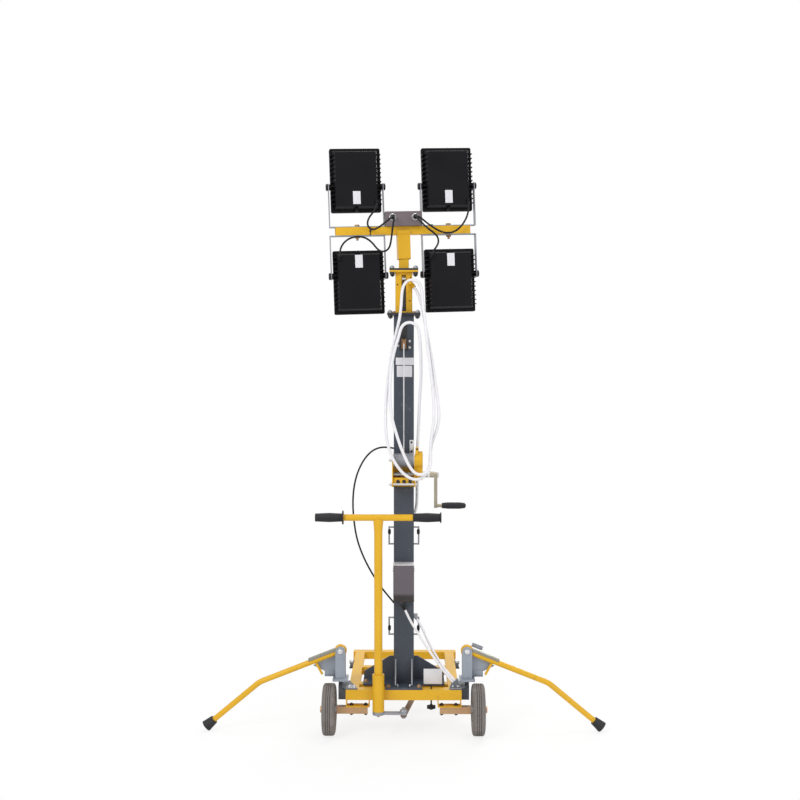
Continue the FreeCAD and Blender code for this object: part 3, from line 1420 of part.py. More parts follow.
def wheel(name, x, y, z, radius, width, rim, bore):
    """A wheel: plain tyre and turned centre, built about X and then placed."""
    half = width / 2
    shoulder = half - s.tyre_shoulder
    side = radius - s.tyre_drop - s.tyre_drop
    profile = [
        (-half, rim), (-half, side), (-half + s.tyre_drop, radius - s.tyre_drop),
        (-shoulder, radius), (shoulder, radius), (half - s.tyre_drop, radius - s.tyre_drop),
        (half, side), (half, rim),
    ]
    tyre = body_of("tyre_" + name)
    face = sketch(tyre, "tyre_outline_" + name, "XZ_Plane", [profile])
    turned(tyre, "tyre_turned_" + name, face, "H_Axis")
    place(tyre, x, y, z)
    keep(tyre)
    lip = s.rim_lip
    web = s.axle_radius
    hub_radius = bore + web
    hub = body_of("hub_" + name)
    outline = [
        (-half, bore), (-half, hub_radius), (-web / 2, hub_radius), (-web / 2, rim - lip),
        (-half + lip, rim - lip), (-half + lip, rim), (half - lip, rim), (half - lip, rim - lip),
        (web / 2, rim - lip), (web / 2, hub_radius), (half, hub_radius), (half, bore),
    ]
    face = sketch(hub, "hub_outline_" + name, "XZ_Plane", [outline])
    turned(hub, "hub_turned_" + name, face, "H_Axis")
    place(hub, x, y, z)
    keep(hub)


def wheels():
    """The two rolling wheels on their stub axles, and the small steered one."""
    for name, sign in (("left", -1), ("right", 1)):
        bore = s.axle_radius + s.axle_gap
        wheel(
            name, sign * s.wheel_out, BAR_Y, s.wheel_radius, s.wheel_radius, s.wheel_wide,
            s.rim_radius, bore,
        )
    bore = s.fork_axle + s.axle_gap
    wheel(
        "steered", ZERO, KING_Y, s.caster_radius, s.caster_radius, s.caster_wide,
        s.caster_rim, bore,
    )
    half = s.axle_side / 2
    stubs = []
    for name, sign in (("left", -1), ("right", 1)):
        shoulder = s.wheel_out - s.wheel_wide / 2 - s.seat_gap
        nut = s.wheel_out + s.wheel_wide / 2 + s.seat_gap
        ends = [sign * s.axle_inner, sign * shoulder]
        x0, x1 = ends if sign > 0 else ends[::-1]
        bar = block(
            "stub_bar_" + name, (x0, BAR_Y - half, s.wheel_radius - half),
            (x1, BAR_Y + half, s.wheel_radius + half),
        )
        start = x1 if sign > 0 else -nut
        pin = rod(
            "stub_pin_" + name, s.axle_radius, (start, BAR_Y, s.wheel_radius), "x", nut - shoulder
        )
        start = nut if sign > 0 else -nut - s.bolt_head
        cap = rod(
            "stub_nut_" + name, s.axle_radius * s.bolt_spread, (start, BAR_Y, s.wheel_radius), "x",
            s.bolt_head,
        )
        stubs.append(fuse("stub_" + name, [bar, pin, cap]))
    keep(group("stub_axles", stubs))


def pad_end():
    """The tube's end and the foot's end, so that the foot's rim just meets the floor."""
    slope = math.radians(float(s.tip_slope))
    down = math.sin(slope)
    out = math.cos(slope)
    high = float(s.pad_radius) * out + float(s.pad_long) * down
    x = float(s.bend_out) + (float(s.bend_high) - high) * out / down
    tip = Vector(x, float(LEG_Y), high)
    return tip, Vector(out, 0, -down)


def bent_path(start, corner, end, radius):
    """A straight run, a tangent arc and a straight run; and the arc's two ends."""
    into = (corner - start).normalize()
    away = (end - corner).normalize()
    half_turn = into.getAngle(away) / 2
    setback = radius * math.tan(half_turn)
    a = corner - into * setback
    b = corner + away * setback
    centre_way = (away - into).normalize()
    middle = corner + centre_way * (radius / math.cos(half_turn) - radius)
    edges = [
        Part.LineSegment(start, a).toShape(),
        Part.Arc(a, middle, b).toShape(),
        Part.LineSegment(b, end).toShape(),
    ]
    return Part.Wire(edges)


def pipe(path, start, way, radius):
    ring = Part.Wire(Part.Circle(start, way, radius).toShape())
    return path.makePipeShell([ring], True, False)


def outrigger(side, sign):
    """One outrigger: swivel head with its clevis, bent leg, rubber foot and saddle."""
    x = s.swivel_out
    flange_top = s.flange_low + s.flange_thick
    wide = s.flange_wide / 2
    long = s.flange_long / 2
    gap = s.leg_radius + s.leg_room
    half = s.strap_wide / 2
    front = LEG_Y - gap - s.strap_thick
    back = LEG_Y + gap
    plate = block(
        "head_flange_" + side, (x - wide, LEG_Y - long, s.flange_low),
        (x + wide, LEG_Y + long, flange_top),
    )
    strap = block(
        "head_strap_" + side, (x - half, front, flange_top),
        (x + half, front + s.strap_thick, s.pivot_high),
    )
    crown = rod("strap_crown_" + side, half, (x, front, s.pivot_high), "y", s.strap_thick)
    pin = rod(
        "lift_pin_" + side, s.pivot_pin, (x, front - s.bolt_head, s.pivot_high), "y",
        2 * gap + s.strap_thick + s.quadrant_thick + s.bolt_head,
    )
    pin_head = rod(
        "lift_pin_head_" + side, s.pivot_pin * s.bolt_spread, (x, front - s.bolt_head, s.pivot_high), "y",
        s.bolt_head,
    )
    sheet_body = body_of("quadrant_" + side)
    outline = [
        (x - half, flange_top),
        (x + half, flange_top),
        (x + s.quadrant_back, s.quadrant_low),
        (x + s.quadrant_out, s.quadrant_high),
        (x + half / 2, s.pivot_high + half / 2),
        (x - half / 2, s.pivot_high + half / 2),
        (x - half, s.pivot_high),
    ]
    face = sketch(sheet_body, "quadrant_outline_" + side, "XZ_Plane", [outline])
    pad(sheet_body, "quadrant_pad_" + side, face, s.quadrant_thick)
    place(sheet_body, ZERO, back + s.quadrant_thick, ZERO)
    solid = fuse("head_solid_" + side, [plate, strap, crown, pin, pin_head, sheet_body])
    hole = rod(
        "swivel_hole_" + side, s.swivel_pin + s.axle_gap, (x, LEG_Y, s.flange_low), "z",
        s.flange_thick,
    )
    head = cut("swivel_solid_" + side, solid, [hole])

    start = Vector(float(x), float(LEG_Y), float(s.pivot_high))
    corner = Vector(float(s.bend_out), float(LEG_Y), float(s.bend_high))
    tip, way = pad_end()
    path = bent_path(start, corner, tip, float(s.bend_radius))
    first = (corner - start).normalize()
    outer, inner = float(s.leg_radius), float(s.leg_radius - s.leg_wall)
    tube = pipe(path, start, first, outer).cut(pipe(path, start, first, inner))
    eye = Vector(start.x, start.y - outer, start.z)
    tube = tube.fuse(Part.makeCylinder(outer, 2 * outer, eye, Y_AXIS))
    hole_radius = float(s.pivot_pin + s.axle_gap)
    tube = tube.cut(Part.makeCylinder(hole_radius, 2 * outer, eye, Y_AXIS))
    leg = named("Part::Feature", "leg_tube_" + side)
    leg.Shape = tube
    cap = Part.makeCone(float(s.pad_neck), float(s.pad_radius), float(s.pad_long), tip, way)
    foot = named("Part::Feature", "foot_cap_" + side)
    foot.Shape = cap
    along = float(s.saddle_long)
    shell = Part.makeCylinder(outer + float(s.saddle_thick), along, start + first * outer, first)
    shell = shell.cut(Part.makeCylinder(outer, along, start + first * outer, first))
    below = Part.makeBox(along, 4 * outer, 4 * outer, Vector(0, -2 * outer, -4 * outer))
    below.Placement = Placement(
        start + first * outer, Rotation(Y_AXIS, math.degrees(math.atan2(-first.z, first.x)))
    )
    saddle = named("Part::Feature", "saddle_shell_" + side)
    saddle.Shape = shell.cut(below)
    for piece, label in (
        (head, "swivel_head_"), (leg, "outrigger_leg_"), (foot, "outrigger_foot_"),
        (saddle, "leg_saddle_"),
    ):
        if sign > 0:
            keep(group(label + side, [piece]))
        else:
            keep(mirrored(label + side, piece))


def frame_fittings():
    """Corner plates, swivel mounts with their bolts, and the leg stowage pegs."""
    fittings = []
    inner, back = s.corner_inner, ahead(s.corner_back)
    top = s.frame_top
    corner = body_of("corner_plate")
    outline = [
        (inner, BAR_FRONT + s.bar_wall),
        (s.bar_half_length, BAR_FRONT + s.bar_wall),
        (s.mount_outer, LEG_Y - s.mount_half),
        (s.mount_outer, LEG_Y + s.mount_half),
        (s.rail_outside, back),
    ]
    face = sketch(corner, "corner_outline", "XY_Plane", [outline])
    pad(corner, "corner_pad", face, s.corner_thick)
    place(corner, ZERO, ZERO, top)
    seat = s.flange_low - s.seat_gap
    flange_top = s.flange_low + s.flange_thick
    mount = [
        corner,
        block(
            "swivel_mount", (s.rail_outside, LEG_Y - s.mount_half, s.mount_low),
            (s.mount_outer, LEG_Y + s.mount_half, top),
        ),
        rod("swivel_boss", s.mount_boss, (s.swivel_out, LEG_Y, top), "z", seat - top),
        rod(
            "swivel_bolt", s.swivel_pin, (s.swivel_out, LEG_Y, seat), "z",
            flange_top + s.seat_gap - seat,
        ),
        rod(
            "swivel_bolt_head", s.swivel_pin * s.bolt_spread,
            (s.swivel_out, LEG_Y, flange_top + s.seat_gap), "z", s.bolt_head,
        ),
    ]
    right = fuse("mount_right", mount)
    cleat_y = ahead(s.cleat_ahead)
    low = top + s.corner_thick
    foot = block(
        "cleat_foot", (s.cleat_left, cleat_y - s.cleat_wide / 2, low),
        (s.cleat_left + s.cleat_long, cleat_y + s.cleat_wide / 2, low + s.corner_thick),
    )
    clamp = body_of("cleat_clamp")
    x0, _, z0 = ROUTES["front_lead"][-1]
    x1, _, z1 = ROUTES["back_lead"][-1]
    rise = (z1 - z0) / (x1 - x0)
    rest = s.power_lead + s.corner_thick / 2
    profile = [
        (x0 - rest, low), (x0 - rest, z0 - rest * rise), (x1 + rest, z1 + rest * rise),
        (x1 + 2 * rest, z1 + rest * rise), (x1 + 2 * rest, low),
    ]
    face = sketch(clamp, "cleat_outline", "XZ_Plane", [profile])
    pad(clamp, "cleat_pad", face, s.cleat_block, both=True)
    place(clamp, ZERO, cleat_y, ZERO)
    cleat_side = fuse("mount_right_with_cleat", [right, foot, clamp])
    peg_z = s.frame_top - s.rail_depth / 2
    peg = rod("peg_right", s.peg_radius, (s.rail_outside, ahead(s.peg_ahead), peg_z), "x", s.peg_long)
    keep(
        group(
            "frame_fittings", [cleat_side, mirrored("mount_left", right), peg, mirrored("peg_left", peg)]
        )
    )


def clamp_screw():
    """The star knob on its screw, up through the near bar."""
    x, y = s.knob_out, BAR_Y
    top = s.frame_top + s.screw_above
    pieces = [
        rod("clamp_stem", s.screw_radius, (x, y, s.knob_low), "z", top - s.knob_low),
        rod("clamp_hub", s.knob_hub, (x, y, s.knob_low), "z", s.knob_thick),
    ]
    lobe = s.knob_lobe
    reach = s.knob_radius - lobe
    for i, (dx, dy) in enumerate(((1, 0), (0, 1), (-1, 0), (0, -1))):
        pieces.append(
            rod("clamp_lobe_%d" % i, lobe, (x + dx * reach, y + dy * reach, s.knob_low), "z", s.knob_thick)
        )
    keep(fuse("clamp_screw", pieces))


def cable(name, radius):
    """A cable: straight runs and tangent arcs, each arc as large as its two runs allow."""
    points = [Vector(x, float(MAST_Y) + y, z) for x, y, z in ROUTES[name]]
    if name.startswith("lead_"):
        points = [LEAN.multVec(p - NECK) + NECK for p in points]
    radius = float(radius)
    edges = []
    radii = []
    here = points[0]
    for a, b, c in zip(points, points[1:], points[2:]):
        into = b - a
        away = c - b
        setback = RUN_SHARE * min(into.Length, away.Length)
        into.normalize()
        away.normalize()
        half_turn = into.getAngle(away) / 2
        bend = setback / math.tan(half_turn)
        radii.append(bend)
        first = b - into * setback
        last = b + away * setback
        inward = (away - into).normalize()
        middle = b + inward * (bend / math.cos(half_turn) - bend)
        edges.append(Part.LineSegment(here, first).toShape())
        edges.append(Part.Arc(first, middle, last).toShape())
        here = last
    edges.append(Part.LineSegment(here, points[-1]).toShape())
    path = Part.Wire(edges)
    way = points[1] - points[0]
    side = way.cross(Z_AXIS if abs(way.z) < way.Length * ALONG else X_AXIS).normalize()
    up = way.cross(side).normalize()
    ring = []
    for i in range(CABLE_SIDES):
        angle = 2 * math.pi * i / CABLE_SIDES
        ring.append(points[0] + side * (radius * math.cos(angle)) + up * (radius * math.sin(angle)))
    section = Part.makePolygon(ring + ring[:1])
    obj = named("Part::Feature", name)
    obj.Shape = path.makePipeShell([section], True, False)
    expected = Part.Face(section).Area * path.Length
    print("%s: length %.0f, volume to section times length %.4f, radii from %.0f:" % (
        name, path.Length, obj.Shape.Volume / expected, min(radii)
    ), " ".join("%.0f" % r for r in radii))
    keep(obj)


near_crossbar()
side_rails()
cross_members()
mast_foot()
mast_tubes()
guide("mast_guide", s.guide_width, s.mast_top, s.mid_side, s.guide_bolt_place, ZERO)
guide(
    "head_guide", s.collar_wide, COLLAR_TOP, s.top_side, s.collar_bolt_place, s.collar_thick
)
doc.recompute()
lamp_tee()
junction_box()
lamp_yokes()
for name, side, up in LAMPS:
    floodlight(name, side, up)
winch()
crank()
rope_and_pulley()
control_box()
cable_hooks()
tiller()
drag_link()
steering_fork()
wheels()
outrigger("right", 1)
outrigger("left", -1)
frame_fittings()
clamp_screw()
cable("mast_cable", s.mast_cable)
cable("side_cable", s.side_cable)
cable("front_lead", s.power_lead)
cable("back_lead", s.power_lead)
for name, side, up in LAMPS:
    cable("lead_" + name, s.lamp_lead)
doc.recompute()

for obj in doc.Objects:
    if "Invalid" in obj.State or "Error" in obj.State:
        raise RuntimeError("%s is %s" % (obj.Label, obj.State))
os.makedirs("parts", exist_ok=True)
for name, obj in nodes.items():
    shape = obj.Shape
    if shape.isNull() or not shape.isValid() or not shape.Solids:
        raise RuntimeError(name + " has no valid solid")
    shape.exportStep("parts/" + name + ".step")
    box = shape.BoundBox
    print("%-22s %2d solids %10.0f mm3  x %7.1f %7.1f  y %7.1f %7.1f  z %7.1f %7.1f" % (
        name, len(shape.Solids), shape.Volume, box.XMin, box.XMax, box.YMin, box.YMax,
        box.ZMin, box.ZMax,
    ))
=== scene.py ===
"""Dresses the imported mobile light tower: camera, cables, materials and small fittings."""
import json
import math

import bmesh
import bpy
from mathutils import Matrix, Vector


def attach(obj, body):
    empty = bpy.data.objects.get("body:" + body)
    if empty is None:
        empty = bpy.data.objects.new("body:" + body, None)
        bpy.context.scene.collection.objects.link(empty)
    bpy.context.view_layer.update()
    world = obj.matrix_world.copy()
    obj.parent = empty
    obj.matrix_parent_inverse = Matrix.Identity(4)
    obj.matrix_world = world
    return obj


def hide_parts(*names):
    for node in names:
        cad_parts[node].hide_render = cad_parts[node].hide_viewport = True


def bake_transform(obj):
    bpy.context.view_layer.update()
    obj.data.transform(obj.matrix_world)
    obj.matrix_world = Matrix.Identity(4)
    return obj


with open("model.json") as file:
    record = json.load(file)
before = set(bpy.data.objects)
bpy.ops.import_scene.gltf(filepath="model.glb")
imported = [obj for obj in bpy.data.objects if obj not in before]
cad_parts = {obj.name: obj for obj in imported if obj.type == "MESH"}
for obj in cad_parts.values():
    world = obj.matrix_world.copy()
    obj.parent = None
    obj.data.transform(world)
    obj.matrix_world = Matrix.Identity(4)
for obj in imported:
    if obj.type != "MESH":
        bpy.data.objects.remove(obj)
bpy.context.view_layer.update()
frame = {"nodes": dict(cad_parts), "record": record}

# The mast's axis stands in front of the origin, and the lamp head turns and leans about its neck.
MAST_Y = -0.195
NECK = Vector((0, MAST_Y, 2.3385))
HEAD_TURN = math.radians(8.0)
HEAD_LEAN = math.radians(-1.9)
HEAD = (
    Matrix.Translation(NECK)
    @ Matrix.Rotation(HEAD_TURN, 4, "Z")
    @ Matrix.Rotation(HEAD_LEAN, 4, "Y")
    @ Matrix.Translation(-NECK)
)
SIDES = (("left", -1), ("right", 1))
ACROSS = (1, 0, 0)
AHEAD = (0, -1, 0)
UP = (0, 0, 1)
DOWN = (0, 0, -1)


def spot(x, y, z):
    """A point in metres from millimetres: x and y from the mast's axis, z from the floor."""
    return Vector((x / 1000, MAST_Y + y / 1000, z / 1000))


# Camera: the photograph's angle; it looks down and turns by these degrees.
CAMERA_PLACE = (0.0368, -5.6856, 1.7777)
CAMERA_DOWN = 1.4531
CAMERA_TURN = 0.5871
camera_data = bpy.data.cameras.new("camera")
camera_data.sensor_fit = "HORIZONTAL"
camera_data.sensor_width = 36
camera_data.lens = 49.5
camera = bpy.data.objects.new("camera", camera_data)
bpy.context.scene.collection.objects.link(camera)
camera.location = CAMERA_PLACE
camera.rotation_euler = (math.radians(90 - CAMERA_DOWN), 0, math.radians(CAMERA_TURN))
bpy.context.scene.camera = camera

# Routes of the cables, from the point where each leaves the object to its other end.
ROUTES = {
    "mast_cable": [
        (51.6, -56.9, 2194.6), (70, -62, 2168), (88, -76, 2110), (106, -94, 2006),
        (137, -114, 1850), (158, -128, 1700), (174, -133, 1580), (168, -140, 1520),
        (154, -144, 1474), (137, -147, 1434), (129, -150, 1380), (127, -152, 1322),
        (108, -154, 1276), (68, -154, 1252), (22, -154, 1264), (-22, -154, 1304), (-64, -153, 1374),
        (-89, -149, 1474), (-88, -141, 1630), (-72, -130, 1790), (-48, -117, 1925),
        (-20, -106, 2036), (-12, -98, 2112), (-10, -90, 2164), (-3, -87, 2201), (18, -83, 2226),
        (51, -83, 2231), (78, -86, 2213), (90, -92, 2174), (92, -101, 2118), (104, -114, 2030),
        (115, -122, 1910), (134, -134, 1772), (145, -141, 1650), (149, -152, 1556),
        (136, -161, 1476), (129, -168, 1404), (132, -172, 1342), (123, -172, 1304),
        (98, -172, 1282), (67, -172, 1281), (40, -172, 1301), (16, -172, 1344), (-10, -171, 1402),
        (-34, -167, 1472), (-62, -161, 1570), (-69, -153, 1690), (-62, -145, 1800),
        (-44, -137, 1890), (-25, -132, 1948), (-14, -127, 1994), (6, -126, 2016), (34, -124, 2021),
        (60, -119, 2009), (74, -112, 1984), (80, -101, 1932), (84, -84, 1858), (86, -64, 1750),
        (78, -44, 1640), (74, -28, 1520), (68, -20, 1400), (68, -8, 1270), (66, 10, 1185),
        (66, 44, 1112), (54, 70, 1060), (30, 84, 1020), (11, 82, 980), (8, 76, 942), (8, 76, 905),
    ],
    "side_cable": [
        (-4, 68, 1376), (-4, 106, 1376), (-28, 136, 1382), (-70, 148, 1391), (-122, 138, 1394),
        (-172, 120, 1372), (-216, 104, 1316), (-248, 91, 1236), (-261, 80, 1138), (-256, 73, 1030),
        (-238, 76, 920), (-200, 88, 820), (-154, 104, 733), (-106, 122, 660), (-69, 140, 612),
        (-40, 152, 574), (-19, 150, 542), (-8, 132, 518), (-4, 99, 507), (-4, 68, 507),
    ],
    "front_lead": [
        (0, -76, 617.7), (26, -83, 558), (68, -93, 494), (122, -117, 413), (178, -130, 336),
        (214, -134, 290), (241, -134, 258),
    ],
    "back_lead": [
        (64, -26, 547), (90, -27, 508), (118, -47, 442), (156, -80, 381), (195, -114, 326),
        (226, -134, 295.5), (250.6, -134, 266.3),
    ],
    "lead_upper_left": [
        (-61, -63, 2542), (-61, -88, 2542), (-75, -106, 2528), (-104, -100, 2507),
        (-131, -80, 2488), (-154, -64, 2480), (-175, -53, 2489), (-183, -49, 2513),
        (-174, -49, 2540), (-156, -52, 2562), (-141, -54, 2582), (-134, -54, 2604),
    ],
    "lead_lower_left": [
        (-51, -63, 2542), (-51, -88, 2542), (-57, -105, 2524), (-64, -104, 2488), (-69, -97, 2448),
        (-74, -87, 2414), (-80, -78, 2390), (-97, -70, 2373), (-122, -63, 2373), (-142, -56, 2391),
        (-160, -49, 2418), (-190, -43, 2444), (-232, -38, 2453), (-276, -38, 2442),
        (-306, -46, 2416), (-321, -53, 2386), (-324, -54, 2356),
    ],
    "lead_upper_right": [
        (61, -63, 2542), (61, -88, 2542), (77, -106, 2528), (108, -95, 2504), (140, -74, 2486),
        (172, -56, 2470), (210, -48, 2459), (254, -47, 2465), (290, -50, 2496), (315, -53, 2536),
        (325, -54, 2574), (324, -54, 2604),
    ],
    "lead_lower_right": [
        (51, -63, 2542), (51, -88, 2542), (63, -107, 2523), (92, -101, 2494), (122, -82, 2473),
        (150, -65, 2456), (167, -56, 2436), (168, -53, 2411), (155, -53, 2389), (142, -54, 2374),
        (135, -54, 2356),
    ],
}


# Meshes and curves.
def link(name, data):
    """An object in the scene for a mesh or curve."""
    obj = bpy.data.objects.new(name, data)
    bpy.context.scene.collection.objects.link(obj)
    return obj


def curve_of(name, points, radius=0.0):
    """A smooth curve with the route's points as its control points."""
    data = bpy.data.curves.new(name, "CURVE")
    data.dimensions = "3D"
    data.resolution_u = 10
    data.bevel_depth = radius
    data.bevel_resolution = 5
    data.use_fill_caps = True
    spline = data.splines.new("NURBS")
    spline.points.add(len(points) - 1)
    for control, point in zip(spline.points, points):
        control.co = (*point, 1.0)
    spline.order_u = 3
    spline.use_endpoint_u = True
    return link(name, data)


def line_of(points):
    """Points along the smooth curve of a route."""
    guide = curve_of("guide", points)
    bpy.context.view_layer.update()
    mesh = bpy.data.meshes.new_from_object(guide)
    line = [v.co.copy() for v in mesh.vertices]
    bpy.data.objects.remove(guide)
    bpy.data.meshes.remove(mesh)
    return line


def ring_at(bm, centre, side, up, radius, sides):
    """A ring of new vertices round a centre, in metres."""
    ring = []
    for k in range(sides):
        angle = 2 * math.pi * k / sides
        ring.append(bm.verts.new(centre + (side * math.cos(angle) + up * math.sin(angle)) * radius))
    return ring


def skin(bm, rings):
    """Faces between rings in a row and over both ends; a ring may be a single point."""
    for a, b in zip(rings, rings[1:]):
        count = max(len(a), len(b))
        for k in range(count):
            n = (k + 1) % count
            if len(a) == 1:
                bm.faces.new((a[0], b[n], b[k]))
            elif len(b) == 1:
                bm.faces.new((a[k], a[n], b[0]))
            else:
                bm.faces.new((a[k], a[n], b[n], b[k]))
    if len(rings[0]) > 1:
        bm.faces.new(list(reversed(rings[0])))
    if len(rings[-1]) > 1:
        bm.faces.new(rings[-1])


def rings_along(bm, line, radius, sides):
    """A closed tube along a line, kept from twisting; returns its rings."""
    way = (line[1] - line[0]).normalized()
    side = way.orthogonal().normalized()
    rings = []
    for i, point in enumerate(line):
        if 0 < i < len(line) - 1:
            way = (line[i + 1] - line[i - 1]).normalized()
        elif i:
            way = (line[i] - line[i - 1]).normalized()
        side = (side - way * side.dot(way)).normalized()
        rings.append(ring_at(bm, point, side, way.cross(side), radius, sides))
    skin(bm, rings)
    return rings


def lathe(bm, profile, start, way, sides=24):
    """A turned shape: (distance along, radius) pairs in millimetres about an axis."""
    axis = Vector(way).normalized()
    side = axis.orthogonal().normalized()
    up = axis.cross(side)
    rings = []
    for along, radius in profile:
        centre = start + axis * (along / 1000)
        if radius > 0:
            rings.append(ring_at(bm, centre, side, up, radius / 1000, sides))
        else:
            rings.append([bm.verts.new(centre)])
    skin(bm, rings)


def prism(bm, near, far):
    """A solid between two outlines whose points match."""
    near = [bm.verts.new(point) for point in near]
    far = [bm.verts.new(point) for point in far]
    bm.faces.new(near)
    bm.faces.new(list(reversed(far)))
    for k in range(len(near)):
        n = (k + 1) % len(near)
        bm.faces.new((near[k], far[k], far[n], near[n]))


def solid_box(bm, low, high, bevel=0.0, matrix=None):
    """A box between two corners in millimetres from the mast's axis."""
    a, b = spot(*low), spot(*high)
    made = bmesh.ops.create_cube(bm, size=1.0)
    middle = (a + b) / 2
    size = b - a
    for v in made["verts"]:
        v.co = Vector((v.co.x * size.x, v.co.y * size.y, v.co.z * size.z)) + middle
    if bevel:
        edges = list({e for v in made["verts"] for e in v.link_edges})
        made = bmesh.ops.bevel(
            bm, geom=edges, offset=bevel / 1000, segments=3, profile=0.5, affect="EDGES"
        )
    if matrix is not None:
        bmesh.ops.transform(bm, matrix=matrix, verts=list(set(made["verts"])))


def finish_mesh(name, bm, smooth_angle=40):
    """An object from a finished mesh, smooth except over sharper edges."""
    bmesh.ops.recalc_face_normals(bm, faces=bm.faces)
    mesh = bpy.data.meshes.new(name)
    bm.to_mesh(mesh)
    bm.free()
    obj = link(name, mesh)
    mesh.shade_smooth()
    mesh.set_sharp_from_angle(angle=math.radians(smooth_angle))
    return obj


# Materials.
MOTTLE_SCALE = 7.0
PATCH_SCALE = 19.0
RELIEF_DEPTH = 0.0006
EDGE_RADIUS = 0.0012


def blank_material(name):
    """A new material with its nodes and links."""
    m = bpy.data.materials.new(name)
    m.use_nodes = True
    return m, m.node_tree.nodes, m.node_tree.links


def noise_node(nodes, scale, detail=2.0):
    """A noise texture of a scale and detail."""
    noise = nodes.new("ShaderNodeTexNoise")
    noise.inputs["Scale"].default_value = scale
    noise.inputs["Detail"].default_value = detail
    return noise


def node_material(name, base, rough, grain, bump, metal=0.0, tint=0.06, coat=0.0, dirt=None,
                  dirt_share=0.0, rough_spread=0.08, spec=0.5):
    """A procedural material: mottled colour, uneven gloss, fine relief and some dust or wear."""
    m, nodes, links = blank_material(name)
    shader = nodes["Principled BSDF"]
    shader.inputs["Metallic"].default_value = metal
    shader.inputs["Coat Weight"].default_value = coat
    shader.inputs["Coat Roughness"].default_value = 0.12
    shader.inputs["Specular IOR Level"].default_value = spec
    place = nodes.new("ShaderNodeTexCoord")
    broad = noise_node(nodes, MOTTLE_SCALE, 5.0)
    links.new(place.outputs["Object"], broad.inputs["Vector"])
    fine = noise_node(nodes, grain, 3.0)
    links.new(place.outputs["Object"], fine.inputs["Vector"])
    ramp = nodes.new("ShaderNodeValToRGB")
    dark = [c * (1 - tint) for c in base]
    light = [min(1, c * (1 + tint) + tint * 0.01) for c in base]
    ramp.color_ramp.elements[0].position = 0.3
    ramp.color_ramp.elements[0].color = (*dark, 1)
    ramp.color_ramp.elements[1].position = 0.7
    ramp.color_ramp.elements[1].color = (*light, 1)
    links.new(broad.outputs["Fac"], ramp.inputs["Fac"])
    colour = ramp.outputs["Color"]
    if dirt is not None:
        patch = noise_node(nodes, PATCH_SCALE, 9.0)
        patch.inputs["Roughness"].default_value = 0.72
        links.new(place.outputs["Object"], patch.inputs["Vector"])
        spread = nodes.new("ShaderNodeMapRange")
        spread.inputs["From Min"].default_value = 0.62 - dirt_share * 0.3
        spread.inputs["From Max"].default_value = 0.74 - dirt_share * 0.1
        links.new(patch.outputs["Fac"], spread.inputs["Value"])
        mix = nodes.new("ShaderNodeMix")
        mix.data_type = "RGBA"
        mix.inputs["B"].default_value = (*dirt, 1)
        links.new(spread.outputs["Result"], mix.inputs["Factor"])
        links.new(colour, mix.inputs["A"])
        colour = mix.outputs["Result"]
    links.new(colour, shader.inputs["Base Color"])
    gloss = nodes.new("ShaderNodeMapRange")
    gloss.inputs["To Min"].default_value = max(0.03, rough - rough_spread)
    gloss.inputs["To Max"].default_value = min(1.0, rough + rough_spread)
    links.new(broad.outputs["Fac"], gloss.inputs["Value"])
    links.new(gloss.outputs["Result"], shader.inputs["Roughness"])
    soft = nodes.new("ShaderNodeBevel")
    soft.samples = 4
    soft.inputs["Radius"].default_value = EDGE_RADIUS
    relief = nodes.new("ShaderNodeBump")
    relief.inputs["Strength"].default_value = bump
    relief.inputs["Distance"].default_value = RELIEF_DEPTH
    links.new(soft.outputs["Normal"], relief.inputs["Normal"])
    links.new(fine.outputs["Fac"], relief.inputs["Height"])
    links.new(relief.outputs["Normal"], shader.inputs["Normal"])
    return m


